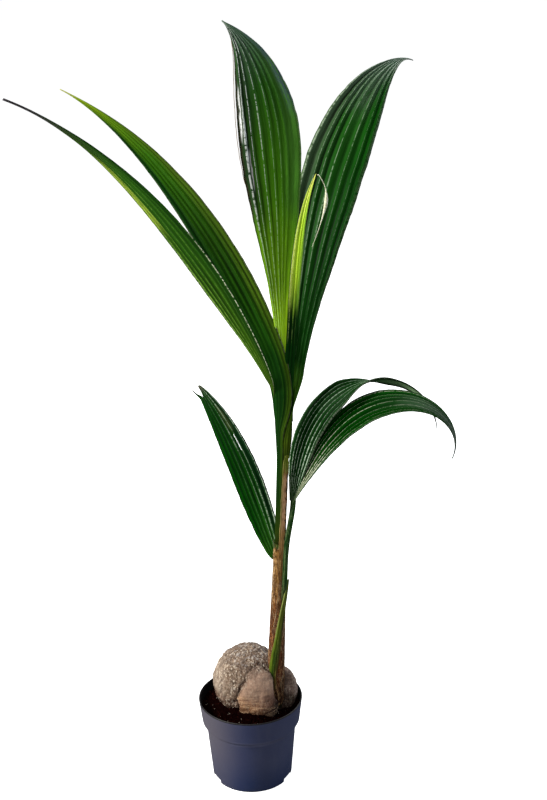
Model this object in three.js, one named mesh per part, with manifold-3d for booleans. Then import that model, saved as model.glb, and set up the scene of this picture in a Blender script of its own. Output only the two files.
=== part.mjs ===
// A young coconut palm in a nursery pot: a sprouted nut, its stem and sheaths, and pleated fronds.
// Millimetres and degrees, +Z up, origin at the middle of the pot's flat underside.
// Seen from the front (looking along +Y) the stem leans to the right, which is +X.
import * as THREE from "three";
import { mergeVertices } from "three/addons/utils/BufferGeometryUtils.js";
import Module from "manifold-3d";

const wasm = await Module();
wasm.setup();

// Clearance between pieces that meet, and the distance at which corners are one corner
const GAP = 0.3;
const WELD = 1e-4;

// Pot: moulded, with a deep collar above a rounded shoulder
const POT_HEIGHT = 160;
const POT_RIM_RADIUS = 95;
const POT_BASE_RADIUS = 73;
const POT_WALL = 2.4;
const POT_FLOOR = 4;
const POT_EDGE = 1.5;
const POT_SIDES = 45;
const COLLAR_FOOT = 117;
const COLLAR_FOOT_RADIUS = 89.7;
const SHOULDER_FOOT = 104;
const SHOULDER_FOOT_RADIUS = 82;
const SHOULDER_STEPS = 4;

// Recesses moulded into the pot's foot, each with a drain hole in its flat back
const RECESS_BEARINGS = [-155, -25, 90];
const RECESS_PLANE = 66.5;
const RECESS_WIDTH = 32;
const RECESS_HEIGHT = 9;
const DRAIN_WIDTH = 12;
const DRAIN_FOOT = 4.5;
const DRAIN_TOP = 8;

// Potting mix, level with a line inside the collar
const SOIL_LEVEL = 143;

// Nut: three husk lobes grown together, with a cleft where the shoot comes out
const NUT_SIDES = 20;
const NUT_RINGS = 12;
const NUT_CLEARANCE = 0.4;
const NUT_LOBES = [
  { centre: [-3, 10, 186], radii: [65, 64, 70], lean: 0 },
  { centre: [21, -12, 176], radii: [36, 46, 64], lean: -14 },
  { centre: [61, 4, 164], radii: [28, 32, 37], lean: 12 },
];
const NUT_CLEFT = { centre: [54, -26, 196], radii: [15, 26, 42], lean: 6 };

// Stem: a leaning shoot that narrows to a waist and flares where the crown leaves it
const STEM_FOOT = new THREE.Vector3(44, -10, SOIL_LEVEL + GAP);
const STEM_TOP = new THREE.Vector3(71.5, 0, 700);
const STEM_FOOT_RADIUS = 13.5;
const STEM_WAIST_RADIUS = 9.7;
const STEM_TOP_RADIUS = 15.4;
const STEM_WAIST = 0.6;
const STEM_FLARE = 0.86;
const STEM_FLARE_POWER = 1.3;
const STEM_SIDES = 16;
const STEM_STEPS = 22;

// Brown fibre sheath round the stem's foot, torn to a tongue on its front left side
const SHEATH_FOOT = 176;
const SHEATH_LOW_TOP = 350;
const SHEATH_TONGUE_TOP = 464;
const SHEATH_TONGUE_BEARING = 225;
const SHEATH_THICKNESS = 2;
const SHEATH_TEAR_CLEARANCE = 4;
const SHEATH_STEPS = 6;

// Dry strip of an old leaf base on the stem's right front
const STRIP = { foot: 357, top: 640, bearing: [-52, -52], spread: [33, 26], lift: GAP, thickness: 1.6 };

// Short green spike that winds up the sheath from the front left to the right
const SPIKE = {
  foot: 192,
  top: 402,
  bearing: [-118, -34],
  spread: [33, 3],
  lift: SHEATH_THICKNESS + 2 * GAP,
  thickness: 2.4,
};
const WRAP_ACROSS = 4;
const WRAP_ALONG = 10;

// Stalk of the arching frond: it lies along the stem's right side, then stands off it
const STALK_FOOT = 352;
const STALK_TOP = 547;
const STALK_BEARING = 8;
const STALK_FOOT_RADIUS = 3.8;
const STALK_TOP_RADIUS = 3.2;
const STALK_STAND_OFF = 5;
const STALK_SIDES = 10;
const STALK_STEPS = 8;

// Fronds. Each lobe is a pleated blade that starts at its foot towards a compass heading (0 is +X,
// 90 is +Y), pitched up by rise and turning to fall at the tip. bend says how late it turns, neck how much
// steeper it stands at the very foot, swing how far the heading drifts, and roll how the blade is twisted
// at foot and tip. half is its greatest half width, base its half width at the foot; swell and close are
// how slowly it widens and narrows. twist is a further turn of the blade between two shares of its length.
const FRONDS = {
  top_left: {
    foot: [73, 8, 700.6], heading: 115.5, swing: 41.9, rise: 87.7, fall: 34, bend: 6.8, neck: -4.3,
    roll: [-17, -39.5], length: 677, half: 51.7, base: 13, swell: 3.2, close: 1.38, pleats: 6, stations: 15,
  },
  top_right: {
    foot: [80, 5, 700.6], heading: 48.7, swing: 12.9, rise: 75.5, fall: -15.7, bend: 2.54, neck: 8,
    roll: [19, 21], length: 788, half: 50.5, base: 7.9, swell: 2.4, close: 1.93, pleats: 6, stations: 16,
  },
  left_far: {
    foot: [72, -5, 700.6], heading: 157.7, swing: -1.6, rise: 64.7, fall: 22, bend: 2.1, neck: 38.7,
    roll: [-58, -37], length: 700, half: 26.6, base: 8.8, swell: 1.1, close: 1.49, pleats: 5, stations: 15,
  },
  left_near: {
    foot: [63, -9, 700.6], heading: 200, swing: -2.4, rise: 61.3, fall: 24.4, bend: 2.7, neck: 30.3,
    roll: [36, 44], length: 725, half: 24.2, base: 2.5, swell: 1.74, close: 2.4, pleats: 5, stations: 15,
  },
  right_far: {
    foot: [82.5, 2.6, 547.6], heading: 12.2, swing: -34, rise: 83.3, fall: -86, bend: 1.9, neck: 0,
    roll: [38.6, 3], length: 434.6, half: 36.5, base: 6, swell: 1.47, close: 1.68, pleats: 5, stations: 18,
    twist: { turn: -48, from: 0.49, to: 0.72 },
  },
  right_near: {
    foot: [82.5, -2.8, 547.6], heading: -18.5, swing: 14, rise: 65, fall: -113, bend: 2.4, neck: 0,
    roll: [29, 36], length: 446, half: 32, base: 4, swell: 1.4, close: 2, pleats: 5, stations: 18,
  },
  small_left: {
    foot: [53, 3, 438], heading: 150, swing: 7, rise: 70, fall: 51, bend: 2.4, neck: 0,
    roll: [-44, -39], length: 338, half: 22.5, base: 4, swell: 0.7, close: 0.8, pleats: 4, stations: 10,
  },
  spear: {
    foot: [77, 0, 700.6], heading: -20, swing: 20, rise: 85.5, fall: 65.7, bend: 5.9, neck: 0,
    roll: [70, 70], length: 425, half: 8, base: 4, swell: 0.9, close: 0.7, pleats: 2, stations: 12,
  },
};
const BLADE_THICKNESS = 0.01;
const TIP_HALF_WIDTH = 1.2;
const TIP_THINNING = 0.6;
const PLEAT_SLOPE = 0.28;
const BLADE_CLEARANCE = 0.4;
const SPINE_STEPS = 120;
const NECK_SHARPNESS = 12;

// Where the two lobes of the arching frond are split, as shares of their length
const RIGHT_FAR_SPLIT = 0.55;
const RIGHT_NEAR_SPLIT = 0.62;

// Finishes
const FINISHES = {
  pot: { color: 0x4a4e5c, roughness: 0.55, metalness: 0 },
  soil: { color: 0x1c120e, roughness: 1, metalness: 0 },
  husk: { color: 0x93806f, roughness: 0.9, metalness: 0 },
  stem: { color: 0x4f7a2a, roughness: 0.5, metalness: 0 },
  fibre: { color: 0x7a4a30, roughness: 0.95, metalness: 0 },
  dry: { color: 0x9a7b4a, roughness: 0.85, metalness: 0 },
  young: { color: 0x8fa83c, roughness: 0.5, metalness: 0 },
  leaf: { color: 0x2c5a22, roughness: 0.45, metalness: 0 },
};

const { degToRad, lerp, clamp, smoothstep } = THREE.MathUtils;

// Moves every corner of a geometry to where the rule puts it
function shaped(geometry, rule) {
  const corners = geometry.attributes.position;
  const corner = new THREE.Vector3();
  for (let i = 0; i < corners.count; i += 1) {
    const place = rule(corner.fromBufferAttribute(corners, i));
    corners.setXYZ(i, place.x, place.y, place.z);
  }
  return geometry;
}

// Turns a closed geometry into a solid that can be joined and cut
function solid(geometry) {
  geometry.deleteAttribute("normal");
  geometry.deleteAttribute("uv");
  const welded = mergeVertices(geometry, WELD);
  const index = welded.index.array;
  const faces = [];
  for (let i = 0; i < index.length; i += 3) {
    const [a, b, c] = [index[i], index[i + 1], index[i + 2]];
    if (a !== b && b !== c && c !== a) {
      faces.push(a, b, c);
    }
  }
  return new wasm.Manifold(
    new wasm.Mesh({
      numProp: 3,
      vertProperties: Float32Array.from(welded.attributes.position.array),
      triVerts: Uint32Array.from(faces),
    }),
  );
}

// The largest body that a cut leaves
function largest(body) {
  const bodies = body.decompose();
  return bodies.reduce((best, next) => (next.volume() > best.volume() ? next : best));
}

function turned(profile, sides) {
  const points = profile.map(([radius, height]) => new THREE.Vector2(radius, height));
  return new THREE.LatheGeometry(points, sides).rotateX(Math.PI / 2);
}

// Half profile of the pot's side from the floor to the rim, inset by a distance
function sideProfile(inset, foot, top) {
  const points = [];
  const wallSlope = (SHOULDER_FOOT_RADIUS - POT_BASE_RADIUS) / SHOULDER_FOOT;
  points.push([POT_BASE_RADIUS + wallSlope * foot - inset, foot]);
  for (let i = 0; i <= SHOULDER_STEPS; i += 1) {
    const share = i / SHOULDER_STEPS;
    const radius = lerp(SHOULDER_FOOT_RADIUS, COLLAR_FOOT_RADIUS, smoothstep(share, 0, 1));
    points.push([radius - inset, lerp(SHOULDER_FOOT, COLLAR_FOOT, share)]);
  }
  const collarSlope = (POT_RIM_RADIUS - COLLAR_FOOT_RADIUS) / (POT_HEIGHT - COLLAR_FOOT);
  points.push([COLLAR_FOOT_RADIUS + collarSlope * (top - COLLAR_FOOT) - inset, top]);
  return points;
}

// A block that faces out of the pot's side at a bearing, from one distance and height to another
function sideBlock(bearing, near, far, width, foot, top) {
  const box = new THREE.BoxGeometry(far - near, width, top - foot);
  box.translate((near + far) / 2, 0, (foot + top) / 2);
  return solid(box.rotateZ(degToRad(bearing)));
}

// The space that the recesses take from the pot's foot, grown by a distance
function recesses(grown) {
  const near = RECESS_PLANE - grown;
  const width = RECESS_WIDTH + 2 * grown;
  const top = RECESS_HEIGHT + grown;
  const spaces = RECESS_BEARINGS.map((bearing) => sideBlock(bearing, near, POT_RIM_RADIUS, width, -1, top));
  return spaces.reduce((all, next) => all.add(next));
}

function makePot() {
  const outside = solid(turned([
    [0, 0],
    [POT_BASE_RADIUS - POT_EDGE, 0],
    ...sideProfile(0, POT_EDGE, POT_HEIGHT - POT_EDGE),
    [POT_RIM_RADIUS - POT_EDGE / 2, POT_HEIGHT],
    [0, POT_HEIGHT],
  ], POT_SIDES));
  const inside = solid(turned([
    [0, POT_FLOOR],
    ...sideProfile(POT_WALL, POT_FLOOR, POT_HEIGHT + 1),
    [0, POT_HEIGHT + 1],
  ], POT_SIDES));
  let pot = outside.subtract(recesses(0)).subtract(inside.subtract(recesses(POT_WALL)));
  for (const bearing of RECESS_BEARINGS) {
    const near = RECESS_PLANE - 2 * POT_WALL;
    pot = pot.subtract(sideBlock(bearing, near, POT_RIM_RADIUS, DRAIN_WIDTH, DRAIN_FOOT, DRAIN_TOP));
  }
  return pot;
}

function makeSoil() {
  const inset = POT_WALL + GAP;
  const fill = solid(turned([
    [0, POT_FLOOR + GAP],
    ...sideProfile(inset, POT_FLOOR + GAP, SOIL_LEVEL),
    [0, SOIL_LEVEL],
  ], POT_SIDES));
  return largest(fill.subtract(recesses(inset)).subtract(makeNut(NUT_CLEARANCE)));
}

function lobe({ centre, radii, lean }, grown) {
  const ball = new THREE.SphereGeometry(1, NUT_SIDES, NUT_RINGS).rotateX(Math.PI / 2);
  ball.scale(...radii.map((radius) => radius + grown));
  return solid(ball.rotateY(degToRad(lean)).translate(...centre));
}

function makeNut(grown = 0) {
  const husk = NUT_LOBES.map((shape) => lobe(shape, grown)).reduce((all, next) => all.add(next));
  return husk.subtract(lobe(NUT_CLEFT, -grown));
}

// Middle and radius of the stem at a height
function stemAt(height) {
  const share = (height - STEM_FOOT.z) / (STEM_TOP.z - STEM_FOOT.z);
  const below = clamp(share / STEM_WAIST, 0, 1);
  const above = clamp((share - STEM_FLARE) / (1 - STEM_FLARE), 0, 1);
  const radius = lerp(STEM_FOOT_RADIUS, STEM_WAIST_RADIUS, smoothstep(below, 0, 1));
  return {
    middle: STEM_FOOT.clone().lerp(STEM_TOP, share),
    radius: lerp(radius, STEM_TOP_RADIUS, above ** STEM_FLARE_POWER),
  };
}

// A point beside the stem: a height, a compass bearing and a distance from its bark
function besideStem(height, bearing, distance) {
  const { middle, radius } = stemAt(height);
  const angle = degToRad(bearing);
  const reach = radius + distance;
  return middle.add(new THREE.Vector3(reach * Math.cos(angle), reach * Math.sin(angle), 0));
}

function makeStem(grown = 0) {
  const rod = new THREE.CylinderGeometry(1, 1, 1, STEM_SIDES, STEM_STEPS).rotateX(Math.PI / 2);
  return solid(shaped(rod, (corner) => {
    const height = lerp(STEM_FOOT.z - grown, STEM_TOP.z + grown, corner.z + 0.5);
    const { middle, radius } = stemAt(height);
    const reach = radius + grown;
    return middle.add(new THREE.Vector3(corner.x * reach, corner.y * reach, 0));
  }));
}

// Height of the fibre sheath's torn edge at a bearing
function sheathTop(bearing) {
  const facing = Math.cos(degToRad(bearing - SHEATH_TONGUE_BEARING));
  return lerp(SHEATH_LOW_TOP, SHEATH_TONGUE_TOP, smoothstep(facing, 0.1, 0.75));
}

function makeSheath(grown = 0) {
  const near = GAP - grown;
  const far = GAP + SHEATH_THICKNESS + grown;
  const tear = grown > 0 ? SHEATH_TEAR_CLEARANCE : 0;
  const wall = [];
  for (let i = 0; i <= SHEATH_STEPS; i += 1) {
    wall.push([2, i / SHEATH_STEPS]);
  }
  for (let i = SHEATH_STEPS; i >= 0; i -= 1) {
    wall.push([1, i / SHEATH_STEPS]);
  }
  const tube = turned([...wall, wall[0]], STEM_SIDES);
  return solid(shaped(tube, (corner) => {
    const bearing = (Math.atan2(corner.y, corner.x) * 180) / Math.PI;
    const height = lerp(SHEATH_FOOT - grown, sheathTop(bearing) + tear, corner.z);
    return besideStem(height, bearing, lerp(near, far, Math.hypot(corner.x, corner.y) - 1));
  }));
}

// A strip that lies round part of the stem
function wrap({ foot, top, bearing, spread, lift, thickness }) {
  const box = new THREE.BoxGeometry(2, 1, 1, WRAP_ACROSS, 1, WRAP_ALONG);
  return solid(shaped(box, (corner) => {
    const share = corner.z + 0.5;
    const angle = lerp(...bearing, share) + corner.x * lerp(...spread, share);
    return besideStem(lerp(foot, top, share), angle, lift + thickness * (0.5 - corner.y));
  }));
}

function makeStalk(grown = 0) {
  const rod = new THREE.CylinderGeometry(1, 1, 1, STALK_SIDES, STALK_STEPS).rotateX(Math.PI / 2);
  return solid(shaped(rod, (corner) => {
    const share = corner.z + 0.5;
    const radius = lerp(STALK_FOOT_RADIUS, STALK_TOP_RADIUS, share);
    const stand = 2 * GAP + radius + STALK_STAND_OFF * share ** 2;
    const middle = besideStem(lerp(STALK_FOOT - grown, STALK_TOP + grown, share), STALK_BEARING, stand);
    const reach = radius + grown;
    return middle.add(new THREE.Vector3(corner.x * reach, corner.y * reach, 0));
  }));
}

// Direction in which a frond's middle line runs at a share of its length
function courseAt(frond, share) {
  const heading = degToRad(frond.heading + frond.swing * share);
  const neck = frond.neck * (1 - share) ** NECK_SHARPNESS;
  const pitch = degToRad(lerp(frond.rise, frond.fall, share ** frond.bend) + neck);
  const flat = Math.cos(pitch);
  return {
    along: new THREE.Vector3(flat * Math.cos(heading), flat * Math.sin(heading), Math.sin(pitch)),
    level: new THREE.Vector3(-Math.sin(heading), Math.cos(heading), 0),
  };
}

function middleLine(frond) {
  const points = [new THREE.Vector3(...frond.foot)];
  for (let i = 0; i < SPINE_STEPS; i += 1) {
    const { along } = courseAt(frond, (i + 0.5) / SPINE_STEPS);
    points.push(points[i].clone().addScaledVector(along, frond.length / SPINE_STEPS));
  }
  return points;
}

function halfWidth(frond, share) {
  const widest = frond.swell / (frond.swell + frond.close);
  const opening = (share / widest) ** frond.swell;
  const closing = ((1 - share) / (1 - widest)) ** frond.close;
  return TIP_HALF_WIDTH + frond.half * opening * closing + frond.base * (1 - share) ** 4;
}

// One lobe of a frond between two shares of its length, as a folded blade
function blade(frond, from = 0, to = 1, grown = 0) {
  const line = middleLine(frond);
  const stations = Math.round(frond.stations * (to - from));
  const box = new THREE.BoxGeometry(2, 1, 1, 2 * frond.pleats, 1, stations);
  return solid(shaped(box, (corner) => {
    const share = lerp(from, to, corner.z + 0.5);
    const step = Math.min(Math.floor(share * SPINE_STEPS), SPINE_STEPS - 1);
    const place = line[step].clone().lerp(line[step + 1], share * SPINE_STEPS - step);
    const { along, level } = courseAt(frond, share);
    const { turn, from: start, to: end } = frond.twist ?? { turn: 0, from: 0, to: 1 };
    const roll = degToRad(lerp(...frond.roll, share) + turn * smoothstep(share, start, end));
    const side = level.clone().applyAxisAngle(along, roll);
    const face = along.clone().cross(side);
    const width = halfWidth(frond, share);
    const fold = Math.round((corner.x + 1) * frond.pleats) % 2 === 0 ? -1 : 1;
    const thickness = BLADE_THICKNESS * frond.length * (1 - TIP_THINNING * share ** 6);
    const lift = (fold * PLEAT_SLOPE * width) / frond.pleats + corner.y * (thickness + 2 * grown);
    place.addScaledVector(side, corner.x * (width + grown));
    place.addScaledVector(along, 2 * corner.z * grown);
    return place.addScaledVector(face, lift);
  }));
}

// Cuts a frond clear of what it meets and keeps its main body
function clearOf(body, ...others) {
  return largest(others.reduce((left, other) => left.subtract(other), body));
}

const palm = new THREE.Group();

function part(name, body, finish) {
  const data = body.getMesh();
  const geometry = new THREE.BufferGeometry();
  geometry.setAttribute("position", new THREE.BufferAttribute(data.vertProperties, 3));
  geometry.setIndex(new THREE.BufferAttribute(data.triVerts, 1));
  geometry.computeVertexNormals();
  const mesh = new THREE.Mesh(geometry, new THREE.MeshStandardMaterial(FINISHES[finish]));
  mesh.name = name;
  palm.add(mesh);
}

const stemSpace = makeStem(GAP);
const sheathSpace = makeSheath(GAP);

part("pot", makePot(), "pot");
part("soil", makeSoil(), "soil");
part("coconut", clearOf(makeNut(), stemSpace, sheathSpace), "husk");
part("stem", makeStem(), "stem");
part("fibre_sheath", makeSheath(), "fibre");
part("dry_strip", clearOf(wrap(STRIP), sheathSpace), "dry");
part("front_spike", clearOf(wrap(SPIKE), makeNut(NUT_CLEARANCE)), "young");
part("right_stalk", clearOf(makeStalk(), sheathSpace), "leaf");

// The arching frond: two lobes on the stalk's end, each split where it bends over
const stalkSpace = makeStalk(GAP);
const splitGap = (frond) => GAP / frond.length;
const farLobe = FRONDS.right_far;
const nearLobe = FRONDS.right_near;
const farSpace = blade(farLobe, 0, RIGHT_FAR_SPLIT, BLADE_CLEARANCE);
part("right_far_rise", clearOf(blade(farLobe, 0, RIGHT_FAR_SPLIT), stalkSpace), "leaf");
part("right_far_tip", blade(farLobe, RIGHT_FAR_SPLIT + splitGap(farLobe), 1), "leaf");
part("right_near_rise", clearOf(blade(nearLobe, 0, RIGHT_NEAR_SPLIT), stalkSpace, farSpace), "leaf");
part("right_near_tip", blade(nearLobe, RIGHT_NEAR_SPLIT + splitGap(nearLobe), 1), "leaf");

part("small_left_frond", clearOf(blade(FRONDS.small_left), stemSpace, sheathSpace), "leaf");

// The crown: the lobes stand round the spear on the stem's top, each cut clear of those before it
const crown = [
  ["left_frond_near", "left_near", "leaf"],
  ["left_frond_far", "left_far", "leaf"],
  ["top_frond_left", "top_left", "leaf"],
  ["spear_leaf", "spear", "young"],
  ["top_frond_right", "top_right", "leaf"],
];
const taken = [stemSpace];
for (const [name, key, finish] of crown) {
  part(name, clearOf(blade(FRONDS[key]), ...taken), finish);
  taken.push(blade(FRONDS[key], 0, 1, BLADE_CLEARANCE));
}

export default palm;
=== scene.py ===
"""Finish of the potted coconut palm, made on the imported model's frame.

Sizes are in millimetres and angles in degrees, as in the part's source. Meshes are made in metres.
"""

import math
from types import SimpleNamespace

import bmesh
import bpy
import numpy as np
from mathutils import Matrix, Vector, noise


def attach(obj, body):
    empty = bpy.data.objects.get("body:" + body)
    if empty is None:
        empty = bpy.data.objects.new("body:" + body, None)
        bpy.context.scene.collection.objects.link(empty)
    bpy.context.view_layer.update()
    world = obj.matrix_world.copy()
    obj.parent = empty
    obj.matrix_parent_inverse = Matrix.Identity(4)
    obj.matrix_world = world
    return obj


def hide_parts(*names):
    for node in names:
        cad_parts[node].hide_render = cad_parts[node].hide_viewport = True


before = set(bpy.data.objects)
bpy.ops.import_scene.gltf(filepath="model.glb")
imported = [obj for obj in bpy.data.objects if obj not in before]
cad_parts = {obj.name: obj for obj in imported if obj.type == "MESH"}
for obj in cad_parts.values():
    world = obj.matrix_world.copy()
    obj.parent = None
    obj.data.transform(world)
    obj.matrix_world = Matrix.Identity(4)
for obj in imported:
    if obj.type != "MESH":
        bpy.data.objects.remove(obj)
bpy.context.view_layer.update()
scene = bpy.context.scene

MM = 0.001

# Pot
POT_HEIGHT = 160
POT_RIM_RADIUS = 95
POT_BASE_RADIUS = 73
POT_WALL = 2.4
POT_FLOOR = 4
POT_SIDES = 180
COLLAR_FOOT = 117
COLLAR_FOOT_RADIUS = 89.7
SHOULDER_FOOT = 104
SHOULDER_FOOT_RADIUS = 82
RECESS_BEARINGS = (-155, -25, 90)
RECESS_PLANE = 66.5
RECESS_WIDTH = 32
RECESS_HEIGHT = 9
DRAIN_WIDTH = 12
DRAIN_FOOT = 4.5
DRAIN_TOP = 8
COLLAR_SLOPE = (POT_RIM_RADIUS - COLLAR_FOOT_RADIUS) / (POT_HEIGHT - COLLAR_FOOT)

# Potting mix, heaped against the nut's left side
SOIL_LEVEL = 143
SOIL_INSET = 2.7
SOIL_HEAP = 22
SOIL_SIDES = 150
SOIL_RINGS = 44

# Nut: its body, the front lobe's swollen foot and the right lobe, then the clefts that the shoot leaves by
NUT_HEART = np.array((6, 4, 176))
NUT_LOBES = (
    {"centre": (-3, 13, 186), "radii": (65, 64, 67), "lean": 0},
    {"centre": (15, -25, 165), "radii": (40, 34, 44), "lean": 0},
    {"centre": (55, 4, 170), "radii": (31, 32, 46), "lean": 0},
)
NUT_CLEFTS = (
    {"centre": (59, -28, 202), "radii": (17, 26, 42), "lean": 6},
    {"centre": (60, -36, 166), "radii": (9, 26, 40), "lean": 4},
)
NUT_BLEND = 0.45
# The front lobe's edges round the heart: its top elevation, then bearings at the top and their spread below
FRONT_LOBE_TOP = 66
FRONT_LOBE_LEFT = (-72, -48)
FRONT_LOBE_RIGHT = (-62, 29)

# Stem and what wraps it
STEM_FOOT = np.array((44, -10, 143.3))
STEM_TOP = np.array((71.5, 0, 700))
STEM_FOOT_RADIUS = 13.5
STEM_WAIST_RADIUS = 9.2
STEM_TOP_RADIUS = 15.4
STEM_WAIST = 0.6
STEM_FLARE = 0.86
STEM_FLARE_POWER = 1.3
STEM_SIDES = 64
# The stem goes on to here inside the crown, and narrows
STEM_CROWN_TOP = 726
SHEATH_FOOT = 152
SHEATH_LOW_TOP = 350
SHEATH_TONGUE_TOP = 464
SHEATH_TONGUE_BEARING = 225
SHEATH_LIFT = 0.3
SHEATH_THICKNESS = 2
SHEATH_SIDES = 150
SHEATH_ROWS = 170
SHEATH_THREADS = 260
SHEATH_LOOSE_ENDS = 46
# The strip and the spike lie where the solids do, as thinner sheets
STRIP = {
    "foot": 357, "top": 640, "bearing": (-80, -62), "spread": (31, 26), "lift": 0.3, "thickness": 1.6,
    "sheet": 1.1, "columns": 40, "rows": 260,
}
SPIKE = {
    "foot": 188, "top": 405, "bearing": (-128, -34), "spread": (33, 8), "lift": 2.6, "thickness": 2.4,
    "sheet": 1.5, "columns": 30, "rows": 120,
}
STALK_FOOT = 340
STALK_FREE = 404
STALK_TURN = 430
STALK_TOP = 547
STALK_BEARINGS = (-54, 8)
STALK_RADII = (5.1, 5.4)
STALK_STAND_OFF = 3.4
STALK_SIDES = 28
STALK_ROWS = 90

# Fronds, by the source's rule, with more pleats and a thinner blade
NECK_SHARPNESS = 12
BLADE_THICKNESS = 0.9
TIP_HALF_WIDTH = 0.6
ROWS_ALONG = 130
COLUMNS_PER_PLEAT = 6
SEED_STEP = 3.7
PLEAT_UNEVENNESS = 0.22
# Share of a blade over which a wrapped foot that starts lower comes up to its place
WRAP_DROP_END = 0.07
# Rows of the left top blade's edge that a dry strand has come loose from
STRAND_START = 78
STRAND_END = 124
FRONDS = {
    "top_frond_left": {
        "foot": (73, 8, 700.6), "heading": 115.5, "swing": 41.9, "rise": 87.7, "fall": 34, "bend": 6.8,
        "neck": -4.3, "roll": (-17, -39.5), "length": 677, "half_width": 51.7, "base": 13, "swell": 3.2,
        "close": 1.38, "pleats": 7, "pleat_depth": 0.36, "cup": 0.06, "waves": 5,
        "wrap": {"foot": 655, "bearing": 95, "spread": 70, "lift": 0.5, "end": 0.14},
    },
    "top_frond_right": {
        "foot": (80, 5, 700.6), "heading": 48.7, "swing": 12.9, "rise": 75.5, "fall": -15.7, "bend": 2.54,
        "neck": 8, "roll": (19, 21), "length": 788, "half_width": 50.5, "base": 21, "swell": 2.4,
        "close": 1.93, "pleats": 7, "pleat_depth": 0.36, "cup": 0.08, "waves": 5,
        "wrap": {"foot": 632, "bearing": -12, "spread": 88, "closed": 0.85, "lift": 0.8, "end": 0.1},
    },
    "left_frond_far": {
        "foot": (72, -5, 700.6), "heading": 157.7, "swing": -1.6, "rise": 64.7, "fall": 22, "bend": 2.1,
        "neck": 38.7, "roll": (-58, -37), "length": 700, "half_width": 26.6, "base": 8.8, "swell": 1.1,
        "close": 1.49, "pleats": 6, "pleat_depth": 0.14, "cup": 0.04, "waves": 3,
        "wrap": {
            "foot": 632, "drop": 160, "bearing": -98, "spread": -80, "twist": -38, "closed": 0.5,
            "opens": (0.065, 0.14), "lift": 1.4, "end": 0.17,
        },
    },
    "left_frond_near": {
        "foot": (63, -9, 700.6), "heading": 200, "swing": -2.4, "rise": 61.3, "fall": 24.4, "bend": 2.7,
        "neck": 30.3, "roll": (36, 44), "length": 725, "half_width": 23.8, "base": 0.5, "swell": 2.1,
        "close": 2.55, "pleats": 6, "pleat_depth": 0.2, "cup": 0.05, "waves": 3, "tip_width": 2.3,
        "wrap": {"foot": 690, "bearing": 178, "spread": 14, "lift": 1.7, "end": 0.12},
    },
    "right_frond_far": {
        "foot": (82.5, 2.6, 547.6), "heading": 12.2, "swing": -34, "rise": 83.3, "fall": -86, "bend": 1.9,
        "neck": 0, "roll": (38.6, 3), "length": 434.6, "half_width": 36.5, "base": 6, "swell": 1.3,
        "close": 1.68, "pleats": 7, "pleat_depth": 0.34, "cup": 0, "waves": 2, "twist": (-48, 0.49, 0.72),
    },
    "right_frond_near": {
        "foot": (82.5, -2.8, 547.6), "heading": -18.5, "swing": 14, "rise": 65, "fall": -113, "bend": 2.4,
        "neck": 0, "roll": (29, 36), "length": 446, "half_width": 32, "base": 4, "swell": 1.4,
        "close": 2, "pleats": 7, "pleat_depth": 0.34, "cup": 0.05, "waves": 2, "tip_width": 1.4,
    },
    "small_left_frond": {
        "foot": (53, 3, 438), "heading": 150, "swing": 7, "rise": 70, "fall": 51, "bend": 2.4,
        "neck": 0, "roll": (-44, -39), "length": 338, "half_width": 22.5, "base": 4, "swell": 0.7,
        "close": 0.8, "pleats": 6, "pleat_depth": 0.22, "cup": 0.06, "waves": 2, "tip_width": 3.2,
        "slit": (-0.4306, 0.6, 0.69, 0.012), "columns": 12, "fork": 0.065, "fork_place": 0.4,
        "prong_out": 150,
    },
    "spear_leaf": {
        "foot": (75, 5, 700.6), "heading": -20, "swing": 20, "rise": 85.5, "fall": 65.7, "bend": 5.9,
        "neck": 0, "roll": (86, 72), "length": 425, "half_width": 8, "base": 13, "swell": 1.5,
        "close": 1.0, "pleats": 3, "pleat_depth": 0.4, "cup": 0.4, "waves": 1,
    },
}
FROND_DEFAULTS = {
    "tip_width": TIP_HALF_WIDTH, "twist": (0, 0, 1), "slit": (0, 0, 1, 0), "fork": -1, "fork_place": 0,
    "prong_out": 0, "columns": COLUMNS_PER_PLEAT, "wrap": {},
}
WRAP_DEFAULTS = {
    "foot": 0, "bearing": 0, "spread": 0, "twist": 0, "lift": 0, "drop": 0, "closed": 0.2,
    "opens": (0, 0.07), "end": -1,
}
# Frond values of more than one part, and the inputs that each part goes to
FROND_PARTS = {
    "roll": ("Foot Roll", "Tip Roll"), "twist": ("Twist", "Twist Start", "Twist End"),
    "slit": ("Slit Place", "Slit Start", "Slit End", "Slit Width"),
    "wrap_opens": ("Wrap Opens", "Wrap Opened"),
}
# Frond inputs that are lengths
FROND_LENGTHS = (
    "Foot", "Length", "Half Width", "Base", "Tip Width", "Waves", "Prong Out", "Wrap Foot", "Wrap Lift",
    "Wrap Drop",
)
# The CAD nodes that each finer blade stands for, where the names differ
BLADE_NODES = {
    "right_frond_far": ("right_far_rise", "right_far_tip"),
    "right_frond_near": ("right_near_rise", "right_near_tip"),
}

# Camera, in metres and degrees
CAMERA_PLACE = (0.0535, -2.2, 1.56)
CAMERA_PITCH = 20.5
CAMERA_ROLL = 1.2
CAMERA_LENS = 62.55
SENSOR_WIDTH = 36
FLOOR_HALF = 30000

# Lights: name, place and aim in metres, size, power and colour
LIGHTS = (
    ("key", (-2.9, -1.0, 2.4), (0.0, 0.0, 0.65), 1.0, 185, (1.0, 0.98, 0.93)),
    ("front", (-0.4, -3.0, 2.6), (0.0, 0.0, 0.7), 1.6, 40, (1.0, 1.0, 1.0)),
    ("right", (2.6, 0.7, 1.7), (0.0, 0.0, 0.5), 1.6, 34, (0.72, 0.84, 1.0)),
    ("back", (0.4, 2.4, 2.8), (0.0, 0.0, 0.9), 1.6, 60, (1.0, 1.0, 1.0)),
)


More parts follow.
